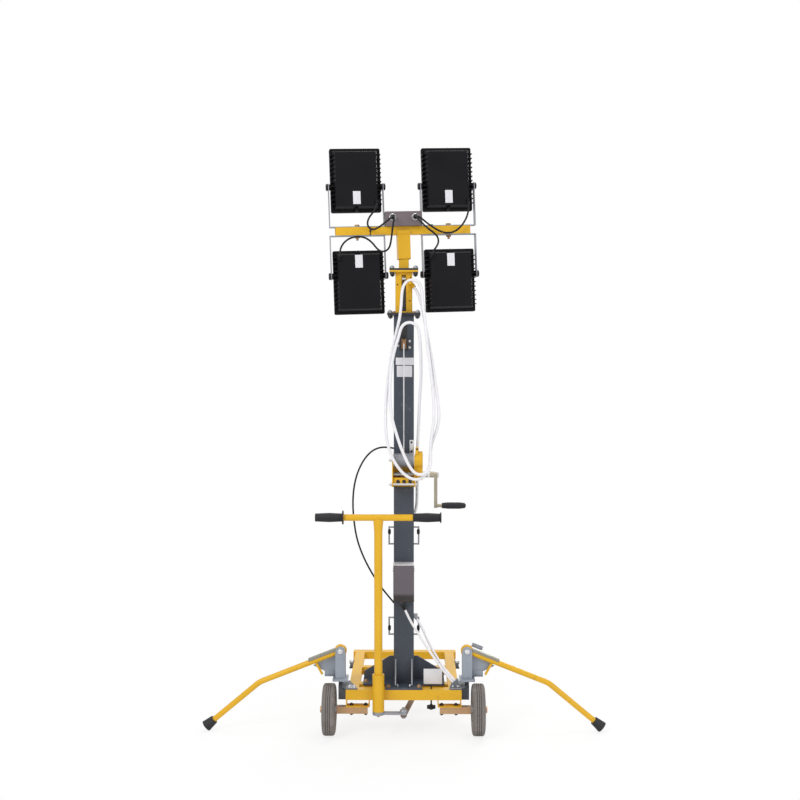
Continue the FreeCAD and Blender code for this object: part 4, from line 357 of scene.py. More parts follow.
FINISHES = {
    "yellow_paint": dict(
        base=(0.72, 0.405, 0.014), rough=0.38, tint=0.035, grain=210, bump=0.06, coat=0.1,
        dirt=(0.52, 0.28, 0.02), dirt_share=0.06, spec=0.3),
    "mast_paint": dict(
        base=(0.042, 0.052, 0.072), rough=0.5, tint=0.07, grain=330, bump=0.16, coat=0.05,
        dirt=(0.12, 0.13, 0.15), dirt_share=0.1),
    "black_paint": dict(base=(0.018, 0.018, 0.02), rough=0.45, tint=0.15, grain=300, bump=0.2),
    "box_plastic": dict(base=(0.15, 0.12, 0.13), rough=0.52, tint=0.05, grain=900, bump=0.22),
    "grey_steel": dict(
        base=(0.30, 0.31, 0.34), rough=0.42, metal=0.35, tint=0.10, grain=240, bump=0.12,
        dirt=(0.2, 0.2, 0.21), dirt_share=0.1),
    "plated_steel": dict(
        base=(0.66, 0.66, 0.67), rough=0.3, metal=0.9, tint=0.08, grain=400, bump=0.1,
        rough_spread=0.1),
    "gold_plate": dict(
        base=(0.52, 0.33, 0.17), rough=0.36, metal=0.7, tint=0.2, grain=160, bump=0.1,
        dirt=(0.56, 0.26, 0.2), dirt_share=0.4),
    "crank_plate": dict(
        base=(0.40, 0.355, 0.27), rough=0.36, metal=0.7, tint=0.14, grain=160, bump=0.1,
        dirt=(0.42, 0.3, 0.2), dirt_share=0.2),
    "brass_plate": dict(
        base=(0.36, 0.21, 0.10), rough=0.42, metal=0.55, tint=0.2, grain=160, bump=0.12,
        dirt=(0.2, 0.1, 0.05), dirt_share=0.3),
    "grip_rubber": dict(
        base=(0.014, 0.014, 0.017), rough=0.55, tint=0.12, grain=900, bump=0.3, spec=0.3),
    "control_paint": dict(base=(0.108, 0.092, 0.108), rough=0.48, tint=0.05, grain=500, bump=0.12),
    "link_paint": dict(
        base=(0.20, 0.13, 0.09), rough=0.5, metal=0.5, tint=0.2, grain=160, bump=0.2,
        dirt=(0.1, 0.08, 0.07), dirt_share=0.3),
    "tyre_rubber": dict(
        base=(0.17, 0.152, 0.142), rough=0.8, tint=0.14, grain=420, bump=0.5,
        dirt=(0.27, 0.245, 0.23), dirt_share=0.3),
    "hub_paint": dict(
        base=(0.36, 0.37, 0.39), rough=0.4, metal=0.5, tint=0.08, grain=240, bump=0.12,
        dirt=(0.22, 0.2, 0.18), dirt_share=0.15),
    "fitting_paint": dict(
        base=(0.125, 0.14, 0.16), rough=0.45, metal=0.15, tint=0.08, grain=260, bump=0.14,
        dirt=(0.2, 0.2, 0.2), dirt_share=0.1),
    "black_plastic": dict(
        base=(0.012, 0.012, 0.013), rough=0.4, tint=0.1, grain=500, bump=0.12, spec=0.3),
    "lamp_paint": dict(
        base=(0.007, 0.0066, 0.0085), rough=0.45, tint=0.1, grain=520, bump=0.2, spec=0.10),
    "head_paint": dict(
        base=(0.31, 0.345, 0.40), rough=0.4, metal=0.25, tint=0.07, grain=240, bump=0.12,
        dirt=(0.22, 0.23, 0.24), dirt_share=0.12),
    "foot_rubber": dict(
        base=(0.012, 0.012, 0.014), rough=0.7, tint=0.15, grain=400, bump=0.35,
        dirt=(0.08, 0.075, 0.07), dirt_share=0.12),
    "saddle_paint": dict(
        base=(0.27, 0.255, 0.21), rough=0.45, metal=0.3, tint=0.12, grain=240, bump=0.14,
        dirt=(0.16, 0.13, 0.09), dirt_share=0.2),
    "white_rubber": dict(
        base=(0.80, 0.79, 0.82), rough=0.5, tint=0.03, grain=500, bump=0.1,
        dirt=(0.62, 0.6, 0.6), dirt_share=0.12),
    "black_rubber": dict(
        base=(0.009, 0.009, 0.011), rough=0.5, tint=0.12, grain=600, bump=0.2, spec=0.22),
    "white_label": dict(base=(0.70, 0.69, 0.72), rough=0.35, tint=0.03, grain=500, bump=0.05),
    # Painted shade for the box's downward-facing slope, and the colour of its dark seam.
    "slope_shade_and_seam_paint": dict(base=(0.052, 0.047, 0.047), rough=0.5, tint=0.06, grain=500, bump=0.12),
    "led_chip": dict(base=(0.78, 0.62, 0.12), rough=0.35, tint=0.06, grain=500, bump=0.1),
}
# A finish that the record has no slot for, with the node that takes it.
# The crank's plating is duller than its slot's other pieces.
FINISH_OF = {"crank": "crank_plate"}


def two_tone(nodes, links, noise, dark, light):
    """A colour that drifts between two tones with a noise."""
    tone = nodes.new("ShaderNodeValToRGB")
    tone.color_ramp.elements[0].color = (*dark, 1)
    tone.color_ramp.elements[1].color = (*light, 1)
    links.new(noise.outputs["Fac"], tone.inputs["Fac"])
    links.new(tone.outputs["Color"], nodes["Principled BSDF"].inputs["Base Color"])


def glass_material():
    """Clear glass with a slightly uneven gloss."""
    m, nodes, links = blank_material("lamp_glass")
    shader = nodes["Principled BSDF"]
    shader.inputs["Transmission Weight"].default_value = 1.0
    shader.inputs["IOR"].default_value = 1.45
    noise = noise_node(nodes, 30.0)
    gloss = nodes.new("ShaderNodeMapRange")
    gloss.inputs["To Min"].default_value = 0.02
    gloss.inputs["To Max"].default_value = 0.07
    links.new(noise.outputs["Fac"], gloss.inputs["Value"])
    links.new(gloss.outputs["Result"], shader.inputs["Roughness"])
    two_tone(nodes, links, noise, (0.86, 0.90, 0.92), (0.93, 0.95, 0.96))
    return m


def board_material():
    """The pale board that carries the light chips."""
    m, nodes, links = blank_material("led_board")
    nodes["Principled BSDF"].inputs["Roughness"].default_value = 0.45
    noise = noise_node(nodes, 60.0)
    two_tone(nodes, links, noise, (0.66, 0.67, 0.68), (0.76, 0.77, 0.78))
    return m


MATERIALS = {name: node_material(name, **finish) for name, finish in FINISHES.items()}
MATERIALS["lamp_glass"] = glass_material()
MATERIALS["led_board"] = board_material()


def dress(obj, slot, body=None, blend=None, replaces=()):
    """Gives a new piece its material, slot and body."""
    obj.data.materials.clear()
    obj.data.materials.append(MATERIALS[slot])
    if body:
        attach(obj, body)
    if blend:
        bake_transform(obj)
    if replaces:
        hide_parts(*replaces)


# Cables.
MAST_CABLE_RADIUS = 0.0075
SIDE_CABLE_RADIUS = 0.0045
BOX_LEAD_RADIUS = 0.006
LAMP_LEAD_RADIUS = 0.0046
TUBE_SIDES = 14
WHITE_CABLES = ("mast_cable", "front_lead", "back_lead")


def cable(name, radius, body=None, blend=None, head=False):
    """A cable along its route, in place of its CAD solid; one given blend data is a mesh tube."""
    points = [spot(*p) for p in ROUTES[name]]
    if head:
        points = [HEAD @ p for p in points]
    line = line_of(points)
    if blend:
        bm = bmesh.new()
        rings_along(bm, line, radius, TUBE_SIDES)
        obj = finish_mesh("cable_" + name, bm)
    else:
        obj = curve_of("cable_" + name, points, radius)
    slot = "white_rubber" if name in WHITE_CABLES else "black_rubber"
    dress(obj, slot, body, blend, (name,))


MAST_STRETCH = ((0, MAST_Y, 1.30), (0, MAST_Y, 2.19))
cable("mast_cable", MAST_CABLE_RADIUS, blend=("chassis", "mid_section", *MAST_STRETCH))
cable("side_cable", SIDE_CABLE_RADIUS, body="chassis")
cable("front_lead", BOX_LEAD_RADIUS, body="chassis")
cable("back_lead", BOX_LEAD_RADIUS, body="chassis")
LEAD_BENDS = {
    "upper_left": ((0, 0, 2550), (0, 0, 2598)),
    "upper_right": ((0, 0, 2550), (0, 0, 2598)),
    "lower_left": ((-285, 0, 2440), (-322, 0, 2366)),
    "lower_right": ((0, 0, 2440), (0, 0, 2362)),
}
for lamp, (a, b) in LEAD_BENDS.items():
    cable(
        "lead_" + lamp, LAMP_LEAD_RADIUS, head=True,
        blend=("lamp_head", "floodlight_" + lamp, HEAD @ spot(*a), HEAD @ spot(*b)),
    )

# Materials of the CAD nodes.
record_slots = {row["node"]: row["material_slot"] for row in frame["record"]["subparts"]}
for name, obj in frame["nodes"].items():
    obj.data.materials.clear()
    obj.data.materials.append(MATERIALS[FINISH_OF.get(name, record_slots[name])])


# Kinds of small piece.
def bolt(bm, start, way, size, dome):
    """A bolt's head on its washer, hexagonal or domed; size is the thread's."""
    axis = way.normalized()
    lathe(bm, [(-0.3, size * 1.05), (0.9, size * 1.05), (1.3, size * 0.98)], start, axis, 20)
    lift = start + axis * 0.0012
    if dome:
        lathe(
            bm, [(0, size * 0.9), (size * 0.25, size * 0.86), (size * 0.5, size * 0.6), (size * 0.58, 0)],
            lift, axis, 16,
        )
        return
    lathe(
        bm, [(0, size * 0.92), (size * 0.56, size * 0.92), (size * 0.68, size * 0.78),
             (size * 0.68, size * 0.45), (size * 0.95, size * 0.42), (size, size * 0.3), (size, 0)],
        lift, axis, 6,
    )


def bolts(name, slot, body, places, way, size, dome=False, head=False):
    """Bolts of one size that point one way."""
    bm = bmesh.new()
    for place in places:
        point = spot(*place)
        axis = Vector(way)
        if head:
            point = HEAD @ point
            axis = HEAD.to_3x3() @ axis
        bolt(bm, point, axis, size, dome)
    dress(finish_mesh(name, bm, 30), slot, body)


def boxes(name, slot, body, rows, bevel=0.6, head=False, angle=35):
    """Boxes with softened edges: each row is a low and a high corner."""
    bm = bmesh.new()
    for low, high in rows:
        solid_box(bm, low, high, bevel)
    if head:
        bmesh.ops.transform(bm, matrix=HEAD, verts=bm.verts)
    dress(finish_mesh(name, bm, angle), slot, body)


def rods(name, slot, body, rows, sides=20, head=False, angle=35):
    """Turned pieces: each row is a profile, a start and a direction."""
    bm = bmesh.new()
    for profile, start, way in rows:
        lathe(bm, profile, spot(*start), way, sides)
    if head:
        bmesh.ops.transform(bm, matrix=HEAD, verts=bm.verts)
    dress(finish_mesh(name, bm, angle), slot, body)


def turned(name, slot, body, profile, start, way, sides, angle=40):
    """One turned piece that starts at a point in metres."""
    bm = bmesh.new()
    lathe(bm, profile, start, way, sides)
    dress(finish_mesh(name, bm, angle), slot, body)


def plate(name, slot, body, near, far, bevel=0.8, profile=0.5):
    """A flat plate between two outlines, with softened edges."""
    bm = bmesh.new()
    prism(bm, near, far)
    bmesh.ops.recalc_face_normals(bm, faces=bm.faces)
    bmesh.ops.bevel(
        bm, geom=list(bm.edges), offset=bevel / 1000, segments=2, profile=profile, affect="EDGES"
    )
    dress(finish_mesh(name, bm, 35), slot, body)


def weld(name, slot, body, points, radius, head=False):
    """An uneven weld bead along a line of points in millimetres."""
    placed = [spot(*p) for p in points]
    if head:
        placed = [HEAD @ p for p in placed]
    line = []
    for a, b in zip(placed, placed[1:]):
        steps = max(2, int((b - a).length / 0.0035))
        line += [a.lerp(b, k / steps) for k in range(steps)]
    line.append(placed[-1])
    bm = bmesh.new()
    rings = rings_along(bm, line, radius / 1000, 7)
    for i, ring in enumerate(rings):
        swell = 1 + 0.16 * math.sin(i * 2.1)
        for v in ring:
            v.co = line[i] + (v.co - line[i]) * swell
    dress(finish_mesh(name, bm, 60), slot, body)


def corners(x, y, z):
    """Four places at one height, x and y to each side of the mast's axis."""
    return [(a, b, z) for a in (-x, x) for b in (-y, y)]


def mirrored(sign, low, high):
    """A box's corners on one side of the mast, from those on its right."""
    ends = sorted((sign * low[0], sign * high[0]))
    return (ends[0], *low[1:]), (ends[1], *high[1:])


# Tyres: bulged walls, rounded shoulders and a tread of ribs.
SHOULDER = 12


def tyre(name, place, radius, width, rim, body, ribs):
    """A ribbed tyre in place of the plain one."""
    half = width / 2
    wall = [
        (-half + 3, rim - 1), (-half + 0.5, rim + 2), (-half + 0.2, rim + 5),
        (-half, (rim + radius) / 2), (-half + 0.6, radius - 13), (-half + 3, radius - 6),
        (-half + 7, radius - 2.2), (-half + SHOULDER, radius - 0.3),
    ]
    groove = radius * 0.035
    land = (width - 2 * SHOULDER) / ribs
    tread = []
    for i in range(ribs):
        start = -half + SHOULDER + i * land
        crown = radius - 0.02 * abs(start + land / 2)
        tread += [(start + 1.6, crown), (start + land - 1.6, crown)]
        if i < ribs - 1:
            tread += [(start + land - 1.2, crown - groove), (start + land + 1.2, crown - groove)]
    other_wall = [(-along, r) for along, r in reversed(wall)]
    bm = bmesh.new()
    lathe(bm, wall + tread + other_wall, spot(*place), ACROSS, 96)
    dress(finish_mesh("ribbed_" + name, bm, 28), "tyre_rubber", body, replaces=(name,))


for side, sign in SIDES:
    tyre("tyre_" + side, (sign * 365, -140, 125), 125, 62, 72, "wheel_" + side, 4)
tyre("tyre_steered", (0, 590, 65), 65, 48, 46, "wheel_steered", 3)

# Lamp head: junction box, cross tube and yokes.
TEE_LOW = 2460
TEE_TOP = 2500
BOX_TOP = 2570
GLAND_X = 56
GLAND_Z = 2542
YOKE_X = 229
YOKE_THICK = 4
for side, sign in SIDES:
    start = (sign * GLAND_X, -45, GLAND_Z)
    rods(
        "gland_nut_" + side, "plated_steel", "lamp_head",
        [([(-0.4, 17), (7, 17), (8.2, 15.4), (9, 14.6), (15, 14.2), (17.6, 12.6)], start, AHEAD)],
        sides=26, head=True,
    )
    rods(
        "gland_seal_" + side, "black_rubber", "lamp_head",
        [([(17.4, 12.4), (18.6, 12.2), (19.4, 10.8)], start, AHEAD)], head=True,
    )
boxes(
    "junction_lid", "box_plastic", "lamp_head",
    [((-92, -46, BOX_TOP - 11), (92, 46, BOX_TOP + 1.4))], bevel=2.2, head=True,
)
bolts(
    "junction_screws", "plated_steel", "lamp_head", corners(80, 35, BOX_TOP + 1.2), UP, size=4.2,
    dome=True, head=True,
)
YOKE_BOLTS = [
    (x, z, way) for x in (-YOKE_X, YOKE_X)
    for z, way in ((TEE_TOP + YOKE_THICK, UP), (TEE_LOW - YOKE_THICK, DOWN))
]
rods(
    "yoke_washers", "brass_plate", "lamp_head",
    [([(-0.3, 15), (1.3, 15), (1.6, 14)], (x, 0, z), way) for x, z, way in YOKE_BOLTS], head=True,
)
rods(
    "yoke_nuts", "brass_plate", "lamp_head",
    [([(1.2, 12.4), (8.4, 12.4), (9.6, 10.6)], (x, 0, z), way) for x, z, way in YOKE_BOLTS]
    + [([(9.4, 6.2), (19, 6.0), (20.4, 4.8)], (x, 0, TEE_LOW - YOKE_THICK), DOWN)
       for x in (-YOKE_X, YOKE_X)], sides=6, head=True,
)
boxes(
    "lead_clip", "black_plastic", "lamp_head",
    [((133, -14, TEE_TOP - 0.3), (151, 6, TEE_TOP + 9))], bevel=2.6, head=True,
)
boxes(
    "lead_tie", "black_plastic", "lamp_head",
    [((-168, -21.6, TEE_LOW - 1.6), (-163, 21.6, TEE_LOW)),
     ((-168, -21.6, TEE_TOP), (-163, 21.6, TEE_TOP + 1.6)),
     ((-168, -21.6, TEE_LOW - 1.6), (-163, -20, TEE_TOP + 1.6)),
     ((-168, 20, TEE_LOW - 1.6), (-163, 21.6, TEE_TOP + 1.6)),
     ((-170, -27, 2476), (-161, -20.4, 2484))], bevel=0.5, head=True,
)
SLEEVE = 31
weld(
    "tee_weld", "yellow_paint", "lamp_head",
    [(-SLEEVE, -20, TEE_LOW), (-SLEEVE, -SLEEVE, TEE_LOW), (SLEEVE, -SLEEVE, TEE_LOW),
     (SLEEVE, 20, TEE_LOW)], radius=2.0, head=True,
)

# Floodlights: blank label, breather, light board, chips and pivot knobs.
LAMP_PLACES = {
    "upper_left": (-1, 1), "upper_right": (1, 1), "lower_left": (-1, -1), "lower_right": (1, -1),
}
PIVOT_RISE = 199
PIVOT_TO_EDGE = 125
KNOB_REACH = 137.3
LAMP_HALF = 125
LAMP_HEIGHT = 314
LAMP_BACK = -46
LAMP_RIM = 24
GLASS_RECESS = 2
GLASS_THICK = 4
BOARD_GAP = 14
BOARD_Y = LAMP_RIM - GLASS_RECESS - GLASS_THICK - BOARD_GAP
BOARD_INSET = 14.6
LABEL_HALF = 18.5
LABEL_SPAN = {1: (35, 98), -1: (-88, -25)}
CHIP_COLUMNS = 8
CHIP_ROWS = 11
CHIP_PITCH = 24.5
CHIP_HALF = 4.5
for lamp, (side, up) in LAMP_PLACES.items():
    body = "floodlight_" + lamp
    x = side * YOKE_X
    base = TEE_TOP if up > 0 else TEE_LOW
    near = base + up * (PIVOT_RISE - PIVOT_TO_EDGE)
    far = near + up * LAMP_HEIGHT
    low, high = min(near, far), max(near, far)
    label_low, label_high = (near + part for part in LABEL_SPAN[up])
    boxes(
        "label_" + lamp, "white_label", body,
        [((x - LABEL_HALF, LAMP_BACK - 0.9, label_low),
          (x + LABEL_HALF, LAMP_BACK + 0.2, label_high))],
        bevel=0.4, head=True,
    )
    rods(
        "breather_" + lamp, "lamp_paint", body,
        [([(0, 10), (26, 9.4), (30, 7), (31, 0)], (x, 0, near + up * 11), AHEAD)],
        sides=18, head=True,
    )
    boxes(
        "light_board_" + lamp, "led_board", body,
        [((x - LAMP_HALF + BOARD_INSET, BOARD_Y + 0.1, low + BOARD_INSET),
          (x + LAMP_HALF - BOARD_INSET, BOARD_Y + 2, high - BOARD_INSET))], bevel=0.3, head=True,
    )
    chips = []
    for column in range(CHIP_COLUMNS):
        for row in range(CHIP_ROWS):
            cx = x + (column - (CHIP_COLUMNS - 1) / 2) * CHIP_PITCH
            cz = (low + high) / 2 + (row - (CHIP_ROWS - 1) / 2) * CHIP_PITCH
            chips.append((
                (cx - CHIP_HALF, BOARD_Y + 1.8, cz - CHIP_HALF),
                (cx + CHIP_HALF, BOARD_Y + 3.2, cz + CHIP_HALF),
            ))
    boxes("light_chips_" + lamp, "led_chip", body, chips, bevel=0.0, head=True, angle=30)
    rods(
        "pivot_knobs_" + lamp, "black_plastic", body,
        [([(-0.2, 16), (3, 17), (8, 17), (10.5, 14), (11, 0)],
          (x + edge * KNOB_REACH, 0, base + up * PIVOT_RISE), (edge, 0, 0)) for edge in (-1, 1)],
        sides=28, head=True, angle=40,
    )

# Tapered strain reliefs where the lamp leads enter the lamps.
for lamp in LAMP_PLACES:
    before, end = [HEAD @ spot(*p) for p in ROUTES["lead_" + lamp][-2:]]
    turned(
        "relief_" + lamp, "black_rubber", "floodlight_" + lamp,
        [(-16, 5.1), (-12, 5.6), (-6, 6.4), (-0.5, 7.6), (3, 7.7), (3.4, 6.6)],
        end, (end - before).normalized(), 20,
    )

# Guides at the tops of the middle and the outer mast.
MID_TOP = 2271
HEAD_GUIDE_TOP = 2289
MAST_TOP = 2060
GUIDE_TOP = 2070
for name, body, reach, top, bottom in (
        ("head_guide", "mid_section", 58, HEAD_GUIDE_TOP, MID_TOP),
        ("mast_guide", "chassis", 68, GUIDE_TOP, MAST_TOP)):
    bolts(name + "_bolts", "grey_steel", body, corners(reach, reach, top), UP, size=13)
    bolts(name + "_nuts", "black_paint", body, corners(reach, reach, bottom), DOWN, size=12.5)
bolts("mast_guide_screws", "brass_plate", "chassis", corners(48, 72, GUIDE_TOP), UP, size=8)
# A dark strip on the middle mast that makes the mast's slot look dark.
boxes(
    "slot_dark_strip", "black_paint", "mid_section", [((-10.6, -36.8, 2079), (10.6, -28, 2222))],
    bevel=0.4,
)
rods(
    "rope_roller", "plated_steel", "mid_section",
    [([(0, 8), (0.8, 11.6), (3, 11.6), (5, 8.6), (15, 8.6), (17, 11.6), (19.2, 11.6), (20, 8)],
      (-10, -38.2, 2239), ACROSS)], sides=28,
)
bolts(
    "mid_mast_screws", "black_paint", "mid_section",
    [(30, -42, 2130), (-32, -42, 2210), (34, -42, 2245)], AHEAD, size=3.4, dome=True,
)
# Painted shade: a thin black plate standing for the dark opening over the rope pulley; then the pulley's
# rims and its bracket's screws.
boxes(
    "opening_shade_plate", "black_paint", "chassis", [((-17, -50.9, 1946), (17, -49.8, 2026))], bevel=0.3,
)
boxes(
    "pulley_plate", "black_paint", "chassis", [((-21, -52.5, 1884), (21, -49.8, 1944))], bevel=0.8,
)
bolts(
    "pulley_screws", "plated_steel", "chassis",
    [(28, -50, 1931), (-27, -50, 1931), (-27, -50, 1908), (28, -50, 1900)], AHEAD, size=6.4,
    dome=True,
)
rods(
    "pulley_rims", "brass_plate", "chassis",
    [([(0, 20), (0.6, 24.6), (2.4, 25), (4, 22), (9, 22), (10.6, 25), (12.4, 24.6), (13, 20)],
      (-6.5, -77, 1917), ACROSS)], sides=36,
)
# Blank plates on the mast.
boxes(
    "mast_plates", "white_label", "chassis",
    [((-40, -51, 1813), (49, -49.9, 1849)), ((-35, -51, 1754), (41, -49.9, 1809))], bevel=0.5,
)

# Winch.
WINCH_Y = -96
BRACKET_FRONT = WINCH_Y - 30
EAR_FRONT = WINCH_Y - 36
PIN_Y = WINCH_Y - 34
PIN_Z = 1230
DRUM_Z = 1345
CRANK_Z = 1275
rods(
    "winch_pin", "plated_steel", "chassis",
    [([(0, 12), (2, 12), (2.4, 7), (14, 7), (15.4, 5.4), (16, 0)], (-57, WINCH_Y, DRUM_Z), (-1, 0, 0)),
     ([(0, 6), (128, 6)], (-71, PIN_Y, PIN_Z), ACROSS),
     ([(0, 10), (7, 10), (7.4, 0)], (-57.2, PIN_Y, PIN_Z), (-1, 0, 0)),
     ([(0, 10), (7, 10), (7.4, 0)], (57.2, PIN_Y, PIN_Z), ACROSS)], sides=24,
)
boxes(
    "winch_foot", "yellow_paint", "chassis",
    [((-51.8, BRACKET_FRONT, 1217), (51.8, BRACKET_FRONT + 5, 1262)),
     ((-51.8, BRACKET_FRONT, 1217), (51.8, -55, 1222))], bevel=0.8,
)
bolts(
    "winch_foot_bolts", "black_paint", "chassis",
    [(x, BRACKET_FRONT, 1243) for x in (-28, 2, 31)], AHEAD, size=8.5,
)
rods(
    "crank_sleeve", "plated_steel", "crank_handle",
    [([(0, 9.3), (0.4, 11), (96, 11), (96.4, 9.3)], (-48, WINCH_Y, CRANK_Z), ACROSS),
     ([(0, 17), (9, 17), (9.4, 15)], (94, WINCH_Y, CRANK_Z), ACROSS),
     ([(0, 16), (2, 16), (2.2, 15.2)], (105, WINCH_Y, CRANK_Z), ACROSS),
     ([(0, 17.4), (11, 17.4), (11.6, 15.6)], (116, WINCH_Y, CRANK_Z), ACROSS)], sides=6,
)
rods(
    "crank_hub_cap", "plated_steel", "crank_handle",
    [([(0, 16.5), (5, 16.5), (7, 14), (8.4, 6), (8.6, 0)], (164.6, WINCH_Y, CRANK_Z), ACROSS)],
    sides=26,
)
# Rope wound on the drum, turn beside turn.
ROPE_TURNS = 16
ROPE_PITCH = 6.0
rods(
    "wound_rope", "grey_steel", "chassis",
    [([(-3, 31.5), (-2.4, 33.6), (-1.2, 34.7), (0, 35), (1.2, 34.7), (2.4, 33.6), (3, 31.5)],
      (-45 + turn * ROPE_PITCH, WINCH_Y, DRUM_Z), ACROSS) for turn in range(ROPE_TURNS)],
    sides=40, angle=60,
)
boxes(
    "latch_plate", "plated_steel", "chassis", [((28, -54, 1374), (49, -50, 1442))], bevel=1.6,
)
bolts(
    "latch_bolts", "black_paint", "chassis", [(38, -54, 1430), (38, -54, 1386)], AHEAD, size=5.5,
)
# Gear cover: pressed edge, ear and screws.
rods(
    "cover_bead", "yellow_paint", "chassis",
    [([(0, 44.6), (3, 44.6), (3.4, 40), (31.6, 40), (32, 44.6), (35.6, 44.6), (36.2, 43)],
      (56.6, WINCH_Y, DRUM_Z), ACROSS)], sides=48, angle=40,
)
boxes(
    "cover_ear", "yellow_paint", "chassis",
    [((57.5, EAR_FRONT, 1376), (72, EAR_FRONT + 5, 1412)),
     ((57.5, EAR_FRONT + 5, 1376), (61.5, -56, 1404))], bevel=1.6,
)
rods(
    "cover_ear_eye", "black_paint", "chassis",
    [([(0, 5), (1.4, 5), (1.5, 0)], (65, EAR_FRONT, 1402), AHEAD)],
)
bolts(
    "cover_screws", "plated_steel", "chassis",
    [(92, WINCH_Y, 1372), (92, WINCH_Y - 19, 1262), (92, WINCH_Y + 19, 1262)], ACROSS, size=4.2,
    dome=True,
)

# Control box: a white plate on the top as painted highlight, screws, painted shade on the sloping
# underside, seam, and the front lead's strain relief.
BOX_FRONT = -141
BOX_HIGH = 834
# A thin white plate on the box's top, painted as the highlight of its lit top face.
boxes(
    "control_top_highlight", "white_label", "chassis",
    [((-51.6, BOX_FRONT + 1, BOX_HIGH - 1), (51.6, -50.6, BOX_HIGH + 1.6))], bevel=0.7,
)
for name, sign in (("control_screws", -1), ("control_screws_right", 1)):
    bolts(
        name, "plated_steel", "chassis", [(sign * 51, y, 806) for y in (-128, -66)], (sign, 0, 0),
        size=4.5, dome=True,
    )
# A thin plate on the sloping underside, painted darker as the shade of a face that looks down.
slope_outline = [
    (BOX_FRONT - 0.3, 688.4), (-96.2, 644.6), (-95.6, 645.6), (BOX_FRONT + 0.6, 689),
]
bm = bmesh.new()
prism(bm, *([spot(x, y, z) for y, z in slope_outline] for x in (-50.6, 50.6)))
dress(finish_mesh("control_slope_shade", bm, 30), "slope_shade_and_seam_paint", "chassis")
seam = BOX_FRONT - 0.2
boxes("control_seam", "slope_shade_and_seam_paint", "chassis", [((-51.3, seam, 691), (51.3, seam + 1, 693))], bevel=0.2)
start, after = [spot(*p) for p in ROUTES["front_lead"][:2]]
way = (start - after).normalized()
turned(
    "control_relief", "black_rubber", "chassis",
    [(-18, 6.2), (-13, 7.6), (-6, 9.6), (0, 10.6), (9, 11), (10, 10.8)], start, way, 24,
)
turned(
    "control_nut", "black_paint", "chassis", [(10, 13.4), (19, 13.4), (20, 11.6)], start, way, 6,
)
# Pads of the cable hooks.
for height, level in ((979, "high"), (495, "low")):
    for side, sign in SIDES:
        rods(
            "hook_pad_%s_%s" % (level, side), "black_rubber", "chassis",
            [([(-13, 4.6), (-11, 6.6), (-4, 7.6), (4, 7.6), (11, 6.6), (13, 4.6)],
              (sign * 72.4, 0, height), UP)],
        )

# Foot of the mast: ribs' edges, bolts and the weld round the mast.
FOOT_TOP = 238
for side, sign in SIDES:
    weld(
        "rib_edge_" + side, "grey_steel", "chassis",
        [(sign * 40, -54, 350), (sign * 40, -57, 345), (sign * 40, -144.6, 245)], radius=3.6,
    )
bolts(
    "foot_bolts", "brass_plate", "chassis",
    [(x, y, FOOT_TOP) for x, y in ((-74, -148), (74, -148), (-188, -52), (188, -52),
                                   (-188, 86), (188, 86))], UP, size=11,
)
bolts(
    "foot_screws", "plated_steel", "chassis", [(x, -128, FOOT_TOP) for x in (-32, 32)], UP, size=7.5,
)
weld(
    "mast_weld", "mast_paint", "chassis",
    [(-50, 50, 239), (-50, -50, 239), (50, -50, 239), (50, 50, 239)], radius=2.6,
)
# Blank plate leaning over the right wing of the foot, with its strap.
hinge = spot(143, -97, FOOT_TOP)
lean = Matrix.Translation(hinge) @ Matrix.Rotation(math.radians(-9), 4, "X")
lean = lean @ Matrix.Translation(-hinge)
bm = bmesh.new()
solid_box(bm, (98, -98, FOOT_TOP + 0.4), (190, -95, FOOT_TOP + 74), 1.0, lean)
dress(finish_mesh("leaning_plate", bm, 35), "white_label", "chassis")
bm = bmesh.new()
solid_box(bm, (190.6, -99, FOOT_TOP + 0.3), (197, -92, FOOT_TOP + 66), 1.2, lean)
solid_box(bm, (120, -95, FOOT_TOP + 0.2), (170, -80, FOOT_TOP + 3), 0.8)
dress(finish_mesh("plate_strap", bm, 35), "black_paint", "chassis")

# Frame: caps and bolts at the near corners.
CAP_LOW = 233.9
CAP_TOP = 236.4
CAP_OUTLINE = [(229, -163), (281, -163), (281, -120), (268, -106), (250, -108), (232, -140)]
for side, sign in SIDES:
    plate(
        "corner_cap_" + side, "grey_steel", "chassis",
        *([spot(sign * x, y, z) for x, y in CAP_OUTLINE] for z in (CAP_LOW, CAP_TOP)),
    )
bolts(
    "corner_bolts", "plated_steel", "chassis",
    [(sign * x, -143, 236) for sign in (-1, 1) for x in (240, 265)], UP, size=9,
)
# Axle hangers: bolts through the plate and the axle bar, nuts under it.
HANGER_BOLTS = [(sign * x, -140) for sign in (-1, 1) for x in (186, 256)]
bolts(
    "hanger_bolts", "black_paint", "chassis", [(x, y, 147) for x, y in HANGER_BOLTS], UP, size=10,
)
bolts(
    "hanger_nuts", "black_paint", "chassis", [(x, y, 108) for x, y in HANGER_BOLTS], DOWN, size=10,
)
# Tiller sleeve: raised rings at its mouth, the weld at the crossbar, the nut under it.
TILLER_X = -122.5
TILLER_Y = -193
rods(
    "sleeve_rings", "yellow_paint", "chassis",
    [([(0, 28.2), (0.6, 29.4), (2.4, 29.6), (4, 28.2)], (TILLER_X, TILLER_Y, 296), UP),
     ([(0, 28.2), (0.4, 29.8), (3.4, 29.2), (4.2, 27), (4.2, 21), (3, 20.4)],
      (TILLER_X, TILLER_Y, 309), UP)], sides=40, angle=40,
)
weld(
    "sleeve_weld", "yellow_paint", "chassis",
    [(TILLER_X + 26, -166, 180), (TILLER_X + 27, -166, 226)], radius=2.4,
)
rods(
    "sleeve_nut", "brass_plate", "tiller_handle",
    [([(0, 10), (6, 10), (7.4, 8)], (TILLER_X, TILLER_Y, 116.8), DOWN),
     ([(6, 5), (12, 5), (13, 3.6)], (TILLER_X, TILLER_Y, 116.8), DOWN)], sides=6,
)
